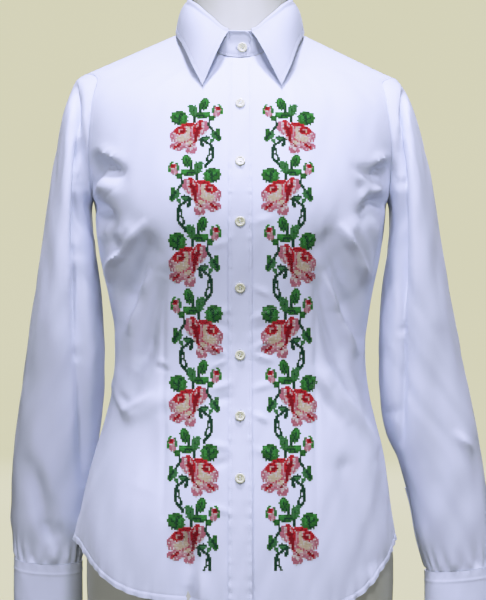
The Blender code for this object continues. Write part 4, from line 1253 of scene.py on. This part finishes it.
def collar_stand(looks):
    """The stand with its groove. In front, where the leaf parts, its top rolls out."""
    angles = np.radians(np.linspace(-STAND_LAP_ANGLE, 360 + STAND_LAP_ANGLE, STAND_COLUMNS))
    rises = np.linspace(0, 1, STAND_ROWS)
    outer = np.array([stand_point(angles, rise) for rise in rises])
    inner = np.array([stand_point(angles, rise, -STAND_CLOTH) for rise in rises])
    normals = -grid_normals(outer)
    above = run_lengths(outer, 0)
    to_top = above[-1:] - above
    lift = pucker(run_lengths(outer, 1), 0 * above, above, 0.006, 0.5)
    lift = lift - COLLAR_GROOVE_DEPTH * bell(above, 0.0012, STAND_STITCH_INSET)
    roll = STAND_ROLL * bell(to_top, 0.0016, 0.0016)
    hollow = STAND_HOLLOW * smooth_step(above, 0.006, 0.016) * smooth_step(to_top, 0.002, 0.005)
    lift = lift + smooth_step(-from_front(angles), -13.5, -11.5) * (roll - hollow)
    outer = outer + normals * lift[..., None]
    stitched = [(edge, STAND_STITCH_INSET) for edge in ("foot", "start", "end")]
    rows = edge_rows(outer, normals, *stitched, trim=0.002)
    stitches = add_stitches("stitching_stand", rows, looks)
    add_cloth("collar_stand", outer, inner, looks["collar"])


def leaf_edge_point(angle):
    """The collar leaf's free edge, on the left as tabled and mirrored on the right."""
    degrees = from_front(angle)
    side = np.where(np.sin(angle) < 0, -1, 1)
    shift = LEAF_FRONT_SHIFT * (1 - smooth_step(degrees, 12, 70))
    x = side * leaf_edge["x"](degrees) + shift
    return np.stack([x, leaf_edge["y"](degrees), leaf_edge["z"](degrees)], -1)


def leaf_rows(angles):
    """The leaf from its root above the stand, over the fold and down to its free edge."""
    fold = fold_point(angles)
    outwards = level_unit(fold)
    roll = columns_of(LEAF_ROLL, None)
    rows = [
        fold + outwards * roll["out"](step) + np.array([0, 0, float(roll["up"](step))])
        for step in np.linspace(0, len(LEAF_ROLL) - 1, LEAF_ROLL_ROWS)
    ]
    shoulder, edge = rows[-1], leaf_edge_point(angles)
    backwards = smooth_step(from_front(angles), 50, 110)
    for fall in np.linspace(0, 1, LEAF_FALL_ROWS)[1:]:
        belly = LEAF_BELLY * math.sin(math.pi * fall**0.6) * (1 - 0.7 * backwards)
        rows.append(shoulder * (1 - fall) + edge * fall + outwards * belly[:, None])
    return np.array(rows)


def collar_leaf(looks):
    """The leaf, stitched all along its free edge and its two front edges."""
    angles = np.radians(np.linspace(LEAF_START_ANGLE, 360 - LEAF_START_ANGLE, LEAF_COLUMNS))
    outer = leaf_rows(angles)
    normals = -grid_normals(outer)
    from_head = run_lengths(outer, 0)
    to_edge = from_head[-1:] - from_head
    across = run_lengths(outer, 1)
    near = np.minimum(to_edge, np.minimum(across, across[:, -1:] - across))
    lift = pucker(across, from_head, near, 0.006, 0.6)
    lift = lift - COLLAR_GROOVE_DEPTH * bell(near, 0.0013, COLLAR_STITCH_INSET)
    outer = outer - normals * lift[..., None]
    inner = outer + normals * CLOTH
    rows = edge_rows(outer, -normals, ("head", COLLAR_STITCH_INSET), trim=0.005)
    falling = slice(LEAF_ROLL_ROWS - 1, None)
    for edge in ("start", "end"):
        line = inset_line(outer[falling], -normals[falling], edge, COLLAR_STITCH_INSET)
        rows.append(stitch_row(line[:-3]))
    stitches = add_stitches("stitching_collar", rows, looks)
    add_cloth("collar_leaf", outer, inner, looks["collar"])


def armhole_point(arm, turn):
    """The body's armhole edge; turn 0 is its top, pi / 2 its front and pi its bottom."""
    heights = armhole_height(turn)
    depths = -ARMHOLE_HALF_DEPTH * np.sin(turn)
    points = []
    for height, depth in zip(heights, depths):
        section = section_point(arm.side * SIDE_ANGLES, height)
        x, z = (np.interp(depth, section[:, 1], section[:, axis]) for axis in (0, 2))
        points.append([x, depth, z])
    return np.array(points)


def ring_spans(ring):
    """A sleeve ring's middle and half span along X, and the same for its height."""
    half_x, half_z = (ring.out_x - ring.in_x) / 2, (ring.out_height - ring.in_height) / 2
    return (ring.in_x + ring.out_x) / 2, half_x, (ring.in_height + ring.out_height) / 2, half_z


def sleeve_ring(arm, curves, row, turns, seam):
    """One ring of a sleeve without its trough, and how deep the trough is round it."""
    ring = SleeveRing(**{name: curve(row) for name, curve in curves.items()})
    centre_x, half_x, centre_z, half_z = ring_spans(ring)
    trough_turn = math.acos(np.clip((arm.trough_x - centre_x) / half_x, -0.9, 0.5))
    crowding = TROUGH_CROWDING * min(1, ring.trough / TROUGH_FULL_DEPTH)
    turns = turns - crowding * np.sin(turns - trough_turn)
    x = arm.side * (centre_x + half_x * np.cos(turns))
    y = ring.middle - ring.half_depth * np.sin(turns)
    dip = arm.dip * smooth_step(-ring.out_height, -0.30, -0.16) * np.sin(turns)
    points = np.stack([x, y, centre_z + half_z * np.cos(turns) - dip], -1)
    if row < 1:
        points = seam * (1 - row) + points * row
    away = np.degrees(np.angle(np.exp(1j * (turns - trough_turn))))
    return points, ring.trough * bell(away, TROUGH_WIDTH_ANGLE)


def sleeve_grids(arm):
    """Outer and inner points of a sleeve, a ring to a row, from the armhole to the cuff."""
    turns = np.linspace(0, 2 * math.pi, SLEEVE_COLUMNS, endpoint=False)
    curves = columns_of(arm.rings, None)
    steps = np.linspace(0, len(arm.rings) - 1, (len(arm.rings) - 1) * RING_STEPS + 1)
    seam = armhole_point(arm, turns) + np.array([arm.side * (SEAM_GAP + 0.0001), 0, 0])
    rings = [sleeve_ring(arm, curves, row, turns, seam) for row in steps]
    plain, depths = (np.array(part) for part in zip(*rings))
    plain[-1, :, 2] += 1.5 * SEAM_GAP
    facing = -arm.side
    front = smooth_step(np.sin(turns), -0.15, 0.35)
    to_cuff = run_lengths(plain[::-1], 0)[::-1]
    creases = line_lift(arm.creases, plain[..., 0], plain[..., 2], tapered=True)
    waves = 1.3 * wave_lift(SOFT_WAVES, run_lengths(plain, 1), plain[..., 2])
    free = smooth_step(steps, 0, 1.2)[:, None] * smooth_step(to_cuff, 0, 0.006)
    gathers = GATHER_DEPTH * np.sin(GATHERS * turns + 3 * np.sin(2 * turns))
    gathers = gathers * bell(to_cuff, GATHER_LENGTH) * smooth_step(to_cuff, 0, 0.007)
    lift = free * (front * creases + waves) + gathers - depths
    outer = plain + facing * grid_normals(plain, tube=True) * lift[..., None]
    inner = outer - facing * grid_normals(outer, tube=True) * FINE_CLOTH
    # The sleeve's head turns in under the body's edge.
    middle = outer[0].mean(axis=0)
    tuck = outer[0] - unit((outer[0] - middle) * np.array([0, 1, 1])) * SEAM_TUCK_DEPTH
    outer = np.concatenate([[tuck - np.array([arm.side * SEAM_TUCK, 0, 0]), tuck], outer])
    inwards = unit((outer[:2] - middle) * np.array([0, 1, 1])) * FINE_CLOTH
    return outer, np.concatenate([outer[:2] - inwards, inner])


def cuff_point(arm, turn, drop, out=0.0):
    """The cuff's outer face; drop 0 is its top. Past a full turn it laps over its own start."""
    ring = arm.rings[-1]
    centre_x, half_x, centre_z, half_z = ring_spans(ring)
    beyond = np.degrees(turn) - arm.lap_angle
    lap = (CUFF_CLOTH + SEAM_GAP) * smooth_step(beyond, 325, 357)
    away = [ring.half_depth * np.cos(turn) * arm.side, -half_x * np.sin(turn), 0 * turn]
    x = arm.side * (centre_x + half_x * np.cos(turn))
    y = ring.middle - ring.half_depth * np.sin(turn)
    z = centre_z + half_z * np.cos(turn) - arm.dip * np.sin(turn) - drop * CUFF_HEIGHT
    return np.stack([x, y, z], -1) + unit(np.stack(away, -1)) * (lap + CUFF_PROUD + out)[..., None]


def cuff(arm, looks):
    """The cuff with its seam to the sleeve and stitching all round."""
    end = arm.lap_angle + 360 + CUFF_LAP_ANGLE
    turns = np.radians(np.linspace(arm.lap_angle, end, CUFF_COLUMNS))
    drops = np.linspace(0, 1, CUFF_ROWS)
    outer = np.array([cuff_point(arm, turns, drop) for drop in drops])
    inner = np.array([cuff_point(arm, turns, drop, -CUFF_CLOTH) for drop in drops])
    normals = arm.side * grid_normals(outer)
    down, across = run_lengths(outer, 0), run_lengths(outer, 1)
    near = np.minimum(down, CUFF_HEIGHT - down)
    lift = 0.5 * wave_lift(SOFT_WAVES, across, down) * smooth_step(near, 0, 0.02)
    lift = lift + pucker(across, down, near, 0.006, 0.6)
    lift = lift - GROOVE_DEPTH * bell(down, 0.0013, CUFF_STITCH_DROP)
    outer = outer + normals * lift[..., None]
    stitched = [("foot", CUFF_SEAM_INSET), ("foot", CUFF_STITCH_DROP)]
    stitched += [("head", CUFF_EDGE_INSET), ("end", CUFF_EDGE_INSET)]
    rows = edge_rows(outer, normals, *stitched)
    stitches = add_stitches(f"stitching_cuff_{arm.name}", rows, looks)
    add_cloth(f"cuff_{arm.name}", outer, inner, looks["cotton"])


def sleeve_and_placket(arm, looks):
    """A sleeve, and the placket strip above its cuff, which is made from the sleeve's points."""
    outer, inner = sleeve_grids(arm)
    normals = -arm.side * grid_normals(outer, tube=True)
    rows = edge_rows(outer[2:], normals[2:], ("foot", ARMHOLE_STITCH_INSET))
    stitches = add_stitches(f"stitching_armhole_{arm.name}", rows, looks)
    name, body_cloths = f"sleeve_{arm.name}", [f"cloth_front_{arm.name}", "cloth_back"]
    add_cloth(name, outer, inner, looks["cotton"], tube=True)
    per_column = SLEEVE_COLUMNS // CAD_SLEEVE_COLUMNS
    column = round(CAD_SLEEVE_COLUMNS * arm.lap_angle / 360)
    rows = slice(-1 - SLEEVE_PLACKET_ROWS * RING_STEPS, -1)
    patch = (rows, slice((column - 1) * per_column, (column + 1) * per_column + 1))
    under = outer[patch] + normals[patch] * SEAM_GAP
    over = outer[patch] + normals[patch] * (SEAM_GAP + CLOTH)
    stitched = [(edge, SLEEVE_PLACKET_INSET) for edge in ("start", "end", "foot")]
    rows = edge_rows(over, normals[patch], *stitched)
    strip = f"sleeve_placket_{arm.name}"
    stitches = add_stitches(f"stitching_{strip}", rows, looks)
    add_cloth(strip, over, under, looks["cotton"])


# Buttons


def button_height(radius, turn):
    """The button's face: a rolled rim round a dish with four thread holes."""
    share = radius / (BUTTON_DIAMETER / 2)
    rim = BUTTON_DISH * smooth_step(share, 0.52, 0.74)
    rounding = 1 - np.sqrt(1 - np.clip((share - 0.80) / 0.20, 0, 1) ** 2)
    height = BUTTON_THICKNESS * (1 - 0.45 * rounding) - BUTTON_DISH + rim
    for quarter in range(4):
        at = math.pi / 4 + quarter * math.pi / 2
        across = radius * np.cos(turn) - BUTTON_HOLE_RING * math.cos(at)
        along = radius * np.sin(turn) - BUTTON_HOLE_RING * math.sin(at)
        away = np.hypot(across, along) / BUTTON_HOLE_RADIUS
        height = height - BUTTON_HOLE_DEPTH * (1 - smooth_step(away, 0.7, 1))
    return height


def button_mesh(looks):
    """A four-hole button; its back is at height 0."""
    radii = np.linspace(0, BUTTON_DIAMETER / 2, BUTTON_RINGS)[1:]
    turns = np.linspace(0, 2 * math.pi, BUTTON_COLUMNS, endpoint=False)
    rings = [(radius, button_height(radius, turns)) for radius in radii]
    for share, rise in ((0.97, 0.10), (0.88, 0.0)):
        rings.append((share * radii[-1], rise * BUTTON_THICKNESS + 0 * turns))
    mesh = bmesh.new()
    loops = [
        [mesh.verts.new((r * math.cos(t), r * math.sin(t), z)) for t, z in zip(turns, heights)]
        for r, heights in rings
    ]
    for inside, outside in zip(loops, loops[1:]):
        for i in range(len(turns)):
            j = (i + 1) % len(turns)
            mesh.faces.new((inside[i], outside[i], outside[j], inside[j]))
    middle = mesh.verts.new((0, 0, BUTTON_THICKNESS - BUTTON_DISH))
    for i in range(len(turns)):
        mesh.faces.new((middle, loops[0][i], loops[0][(i + 1) % len(turns)]))
    mesh.faces.new(loops[-1][::-1])
    data = finished_mesh(mesh, bpy.data.meshes.new("button"), BUTTON_SHARP_ANGLE)
    data.materials.append(looks["pearl"])
    return data


def button_thread_mesh(looks):
    """Two bars of thread over the button's holes."""
    reach = BUTTON_HOLE_RING * math.cos(math.pi / 4)
    foot = BUTTON_THICKNESS - BUTTON_DISH - 0.0004
    shifts = (-BUTTON_THREAD_SPACING, 0.0, BUTTON_THREAD_SPACING)
    places = [side * reach + shift for side in (-1, 1) for shift in shifts]
    starts, ends = (np.array([(end * reach, y, foot) for y in places]) for end in (-1, 1))
    normals = np.tile([0.0, 0.0, 1.0], (len(starts), 1))
    sizes = (BUTTON_THREAD_WIDTH, BUTTON_THREAD_RISE)
    data = strand_mesh("button_thread", starts, ends, normals, *sizes)
    data.materials.append(looks["thread"])
    return data


def placket_places():
    """Places on the placket where the buttons go, which way each faces and its hole's direction."""
    grid = placket_grid(SEAM_GAP + CLOTH)
    line = grid[:, grid.shape[1] // 2]
    reach = 0.006
    places = []
    for height in BUTTON_HEIGHTS:
        place = np.array([np.interp(height, line[:, 2], line[:, axis]) for axis in range(3)])
        ends = [np.interp(height + end * reach, line[:, 2], line[:, 1]) for end in (-1, 1)]
        facing = unit(np.cross([1.0, 0, 0], [0, ends[1] - ends[0], 2 * reach]))
        places.append((place, facing, np.array([0.0, 0.0, 1.0])))
    return places


def collar_button_place():
    front = np.array([2 * math.pi + math.radians(COLLAR_BUTTON_ANGLE)])
    place = stand_point(front, COLLAR_BUTTON_RISE)[0]
    upwards = stand_point(front, 1.0)[0] - stand_point(front, 0.0)[0]
    return place, unit(np.cross([1.0, 0, 0], upwards)), np.array([1.0, 0.0, 0.0])


def cuff_button_place(arm):
    middle = arm.lap_angle + 360 + CUFF_LAP_ANGLE / 2
    turn = np.radians(np.array([middle - 2, middle, middle + 2]))
    places = cuff_point(arm, turn, 0.5)
    along = unit(places[2] - places[0])
    return places[1], unit(cuff_point(arm, turn, 0.5, 0.001)[1] - places[1]), along


def buttonhole(place, facing, along):
    """Satin stitches round a buttonhole, either side of its slit and across its ends."""
    along = unit(along - facing * (along @ facing))
    across = np.cross(facing, along)
    half_length = BUTTONHOLE_LENGTH / 2
    starts, ends = [], []
    for step in np.arange(-half_length, half_length, BUTTONHOLE_PITCH):
        for side in (-1, 1):
            starts.append(place + along * step + across * side * BUTTONHOLE_HALF_SLIT)
            ends.append(place + along * step + across * side * BUTTONHOLE_HALF_WIDTH)
    bar = np.arange(-BUTTONHOLE_HALF_WIDTH, BUTTONHOLE_HALF_WIDTH, BUTTONHOLE_END_PITCH)
    for end in (-1, 1):
        for step in bar:
            point = place + along * end * half_length + across * step
            starts.append(point)
            ends.append(point + along * end * BUTTONHOLE_END_LENGTH)
    lift = facing * BUTTONHOLE_LIFT
    return np.array(starts) + lift, np.array(ends) + lift, np.tile(facing, (len(starts), 1))


def buttons(looks):
    """The buttons in their buttonholes, each turned a little on its own."""
    places = [(f"button_{i}", *spot) for i, spot in enumerate(placket_places(), start=1)]
    places.append(("collar_button", *collar_button_place()))
    for arm in ARMS:
        places.append((f"cuff_button_{arm.name}", *cuff_button_place(arm)))
    shell, thread = button_mesh(looks), button_thread_mesh(looks)
    holes = []
    draw = np.random.default_rng(3)
    for name, place, facing, along in places:
        outwards = Vector(facing)
        turn = outwards.to_track_quat("Z", "Y").to_matrix().to_4x4()
        twist = Matrix.Rotation(draw.uniform(-BUTTON_TWIST, BUTTON_TWIST), 4, "Z")
        for kind, data, slot in (("pearl", shell, "button"), ("thread", thread, "cotton")):
            obj = link(f"{name}_{kind}", data)
            obj.matrix_world = Matrix.Translation(Vector(place) + outwards * SEAM_GAP) @ turn @ twist
            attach(obj, BODY)
            if kind == "pearl":
                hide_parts(name)
        holes.append(buttonhole(place, facing, along))
    add_stitches("buttonholes", holes, looks)


# Embroidery


def patch_cells(shape, x, y):
    """Which stitches a patch covers; its edge is ragged."""
    tilt = math.radians(shape.tilt)
    across = (x - shape.x) * math.cos(tilt) + (y - shape.y) * math.sin(tilt)
    along = (y - shape.y) * math.cos(tilt) - (x - shape.x) * math.sin(tilt)
    across, along = across / shape.half_width, along / shape.half_height
    ragged = LEAF_TEETH if "green" in shape.floss or shape.floss == "sage" else PETAL_TEETH
    teeth = ragged * np.cos(TEETH * np.arctan2(along, across) + shape.x)
    return np.hypot(across, along) <= 1 + teeth


def stem_cells(shape, x, y):
    """Which stitches a stem covers."""
    inside = np.zeros(x.shape, bool)
    for (x0, y0), (x1, y1) in zip(shape.points, shape.points[1:]):
        run = np.array([x1 - x0, y1 - y0])
        share = np.clip(((x - x0) * run[0] + (y - y0) * run[1]) / (run @ run), 0, 1)
        away = np.hypot(x - x0 - share * run[0], y - y0 - share * run[1])
        inside |= away <= shape.thickness / 2
    return inside


def motif_cells():
    """The floss of each stitch of the motif, by its column and row."""
    cells, draw = {}, np.random.default_rng(7)
    columns, rows = np.meshgrid(
        np.arange(-1, MOTIF_COLUMNS + 1), np.arange(0, MOTIF_ROWS), indexing="ij"
    )
    for shape in MOTIF:
        covered = patch_cells if isinstance(shape, Patch) else stem_cells
        inside = covered(shape, columns + 0.5, rows + 0.5)
        other, share = FLECKS.get(shape.floss, (shape.floss, 0.0))
        for column, row in zip(columns[inside], rows[inside]):
            cells[int(column), int(row)] = other if draw.random() < share else shape.floss
    return cells


def column_cells(side):
    """The floss of each stitch of a whole column of roses, every other one mirrored."""
    motif, cells = motif_cells(), {}
    for number, shift in enumerate(ROSE_SHIFTS[side]):
        mirrored = (number % 2 == 1) != (side > 0)
        for (column, row), floss in motif.items():
            across = MOTIF_COLUMNS - 1 - column if mirrored else column
            if row + number * ROSE_ROWS <= LAST_ROW:
                cells[across + shift, row + number * ROSE_ROWS] = floss
    return cells


def angle_of(x, height):
    """The angles at which the plain front passes each x, at each height."""
    high = np.radians(np.full(x.shape, ROSE_SEARCH_ANGLE))
    low = -high
    for _ in range(HALVINGS):
        middle = (low + high) / 2
        beyond = section_point(middle, height)[..., 0] > x
        high, low = np.where(beyond, middle, high), np.where(beyond, low, middle)
    return (low + high) / 2


def front_place(x, height):
    """A point of the cloth's front with its folds, and its normal."""
    angle = angle_of(x, height)
    low = hem_height(angle)
    level = (height - low) / (SHOULDER_TIP_HEIGHT - low)
    return shirt_point(angle, level), body_normal(angle, level)


def row_heights(count):
    """The height of each row of stitches, which follows the hearts of the roses."""
    rows = ROSE_HEART_ROW + ROSE_ROWS * np.arange(len(ROSE_HEIGHTS))
    last_step = (ROSE_HEIGHTS[-2] - ROSE_HEIGHTS[-1]) / ROSE_ROWS
    end = ROSE_HEIGHTS[-1] - (count - rows[-1]) * last_step
    knots = np.concatenate([[0], rows, [count]])
    heights = np.concatenate([[TOP_ROW_HEIGHT], ROSE_HEIGHTS, [end]])
    return smooth_curve(knots, heights, spline_tangents)(np.arange(count + 1))


def embroidery(side, looks):
    """A column of cross-stitched roses: side -1 is on the wearer's right front."""
    cells = column_cells(side)
    spots = np.array(list(cells))
    slots = np.array([list(FLOSS).index(floss) for floss in cells.values()])
    heights = row_heights(spots[:, 1].max() + 1)
    corners = {}
    for right in (0, 1):
        for down in (0, 1):
            column = spots[:, 0] + right - MOTIF_COLUMNS / 2
            x = side * MOTIF_CENTRE_X + column * STITCH_PITCH
            corners[right, down] = front_place(x, heights[spots[:, 1] + down])
    crosses = []
    for start, end, rise in (((0, 1), (1, 0), 0.0), ((0, 0), (1, 1), OVER_RISE)):
        out = corners[start][1]
        lift = out * (FLOSS_LIFT + rise / 2)
        rises = np.full(len(slots), FLOSS_RISE + rise)
        crosses.append((corners[start][0] + lift, corners[end][0] + lift, out, rises))
    starts, ends, normals, rises = (np.concatenate(parts) for parts in zip(*crosses))
    name = "embroidery_left" if side > 0 else "embroidery_right"
    data = strand_mesh(name, starts, ends, normals, FLOSS_WIDTH, rises, np.tile(slots, 2))
    obj = link(name, data, *[looks[floss] for floss in FLOSS])
    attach(obj, BODY)


# Dress form


def form_rings():
    """The dress form's rings, from its flat base to the top of its neck."""
    angles = np.linspace(0, 2 * math.pi, FORM_COLUMNS, endpoint=False)
    stump = STUMP_INSET * bell(from_front(angles), STUMP_ANGLE, 90)
    low = hem_height(angles)
    rings = []
    for height in FORM_HEIGHTS:
        level = (height - low) / (SHOULDER_TIP_HEIGHT - low)
        normal = level_unit(body_normal(angles, level))
        inset = form_inset(height) + stump * smooth_step(height, 0.56, 0.64)
        inset = inset + FORM_BASE_ROUNDING * (1 - min(1, height / FORM_BASE_ROUNDING)) ** 2
        plain = section_point(angles, np.full(FORM_COLUMNS, height), shift=0.0)
        rings.append(plain - normal * inset[:, None])
    for step in FORM_SHOULDER_STEPS:
        level = np.full(FORM_COLUMNS, 1 + step)
        inset = form_inset(SHOULDER_TIP_HEIGHT) + stump * smooth_step(-step, -0.3, 0)
        rings.append(body_point(angles, level) - body_normal(angles, level) * inset[:, None])
    for point in (neckline_point(angles), fold_point(angles)):
        rings.append(point - level_unit(point) * FORM_NECK_CLEARANCE)
    for share, spread in FORM_NECK_RINGS:
        radius = FORM_NECK_RADIUS * spread
        rings.append(ring_point(angles, radius, radius, radius, 2.0, FORM_TOP_HEIGHT * share))
    return np.array(rings)


def dress_form(looks):
    rings = form_rings()
    rows, columns = rings.shape[:2]
    index = closed_round(np.arange(rows * columns).reshape(rows, columns))
    faces = quads(index).tolist()
    faces.append(index[0, :-1][::-1].tolist())
    faces.append(index[-1, :-1].tolist())
    data = bpy.data.meshes.new("form_shell")
    data.from_pydata(rings.reshape(-1, 3).tolist(), [], faces)
    data.shade_smooth()
    data.set_sharp_from_angle(angle=math.radians(FORM_SHARP_ANGLE))
    obj = link("form_shell", data, looks["form"])
    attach(obj, BODY)
    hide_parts("dress_form")


# Studio


def studio(looks):
    """A round pale floor that sweeps up into a wall, seen by the camera only."""
    turns = np.linspace(0, math.pi / 2, 13)[1:]
    sweep = [
        (FLOOR_RADIUS + SWEEP_RADIUS * math.sin(t), SWEEP_RADIUS * (1 - math.cos(t))) for t in turns
    ]
    profile = [(0.01, 0.0), (FLOOR_RADIUS, 0.0), *sweep, (FLOOR_RADIUS + SWEEP_RADIUS, WALL_HEIGHT)]
    turns = np.linspace(0, 2 * math.pi, 97)
    grid = np.array([[(r * math.cos(t), r * math.sin(t), z) for t in turns] for r, z in profile])
    index = np.arange(grid.shape[0] * grid.shape[1]).reshape(grid.shape[:2])
    data = bpy.data.meshes.new("studio_sweep")
    data.from_pydata(grid.reshape(-1, 3).tolist(), [], quads(index)[:, ::-1].tolist())
    data.shade_smooth()
    obj = link("studio_sweep", data, looks["stage"])
    obj.visible_diffuse = False
    obj.visible_glossy = False
    obj.visible_shadow = False


def area_light(name, place, aim_height, size, energy, color):
    light = bpy.data.lights.new(name, "AREA")
    light.shape = "DISK"
    light.size = size
    light.energy = energy
    light.color = color
    obj = link(name, light)
    obj.location = place
    obj.rotation_mode = "QUATERNION"
    aim = Vector((0, 0, aim_height)) - Vector(place)
    obj.rotation_quaternion = aim.to_track_quat("-Z", "Y")


def lights():
    for row in LIGHTS:
        area_light(*row)
    world = bpy.data.worlds.new("studio_light")
    world.use_nodes = True
    background = world.node_tree.nodes["Background"]
    background.inputs["Color"].default_value = WORLD_COLOR
    background.inputs["Strength"].default_value = WORLD_STRENGTH
    bpy.context.scene.world = world


def tone_curve():
    """Plain colours up to the middle tones, then a shoulder that keeps white cloth from clipping."""
    settings = bpy.context.scene.view_settings
    settings.view_transform = "Standard"
    settings.use_curve_mapping = True
    mapping = settings.curve_mapping
    mapping.white_level = (TONE_WHITE,) * 3
    blue, all_colors = mapping.curves[2], mapping.curves[3]
    for light, tone in TONES:
        all_colors.points.new(light / TONE_WHITE, tone)
    for light, tone in BLUE_TONES:
        blue.points.new(light / TONE_WHITE, tone / TONE_WHITE)
    mapping.update()


def camera():
    data = bpy.data.cameras.new("camera")
    data.lens = CAMERA_LENS
    data.sensor_width = SENSOR
    obj = link("camera", data)
    obj.location = CAMERA_PLACE
    obj.rotation_euler = (math.pi / 2, 0, 0)
    bpy.context.scene.camera = obj


def make_looks():
    looks = {name: floss_material(name, color) for name, color in FLOSS.items()}
    looks["cotton"] = cotton_material("white_poplin", 1.0)
    # the collar's cloth, darkened with painted shade
    looks["collar"] = cotton_material("white_poplin_interlined", COLLAR_PAINTED_SHADE)
    looks["thread"] = thread_material()
    looks["pearl"] = pearl_material()
    looks["form"] = form_material()
    looks["stage"] = stage_material()
    return looks


def corners(box):
    return [list(corner) for corner in box]


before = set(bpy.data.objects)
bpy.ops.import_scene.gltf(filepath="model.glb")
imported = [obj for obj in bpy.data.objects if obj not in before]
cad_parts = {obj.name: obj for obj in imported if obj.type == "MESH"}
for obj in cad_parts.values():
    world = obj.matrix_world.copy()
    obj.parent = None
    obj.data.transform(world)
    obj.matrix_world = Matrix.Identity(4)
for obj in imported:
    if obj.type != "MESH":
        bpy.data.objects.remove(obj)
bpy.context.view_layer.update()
camera()
lights()
tone_curve()
looks = make_looks()
studio(looks)
dress_form(looks)
front_and_back(looks)
button_placket(looks)
collar_stand(looks)
collar_leaf(looks)
for arm in ARMS:
    sleeve_and_placket(arm, looks)
    cuff(arm, looks)
buttons(looks)
for side in (-1, 1):
    embroidery(side, looks)
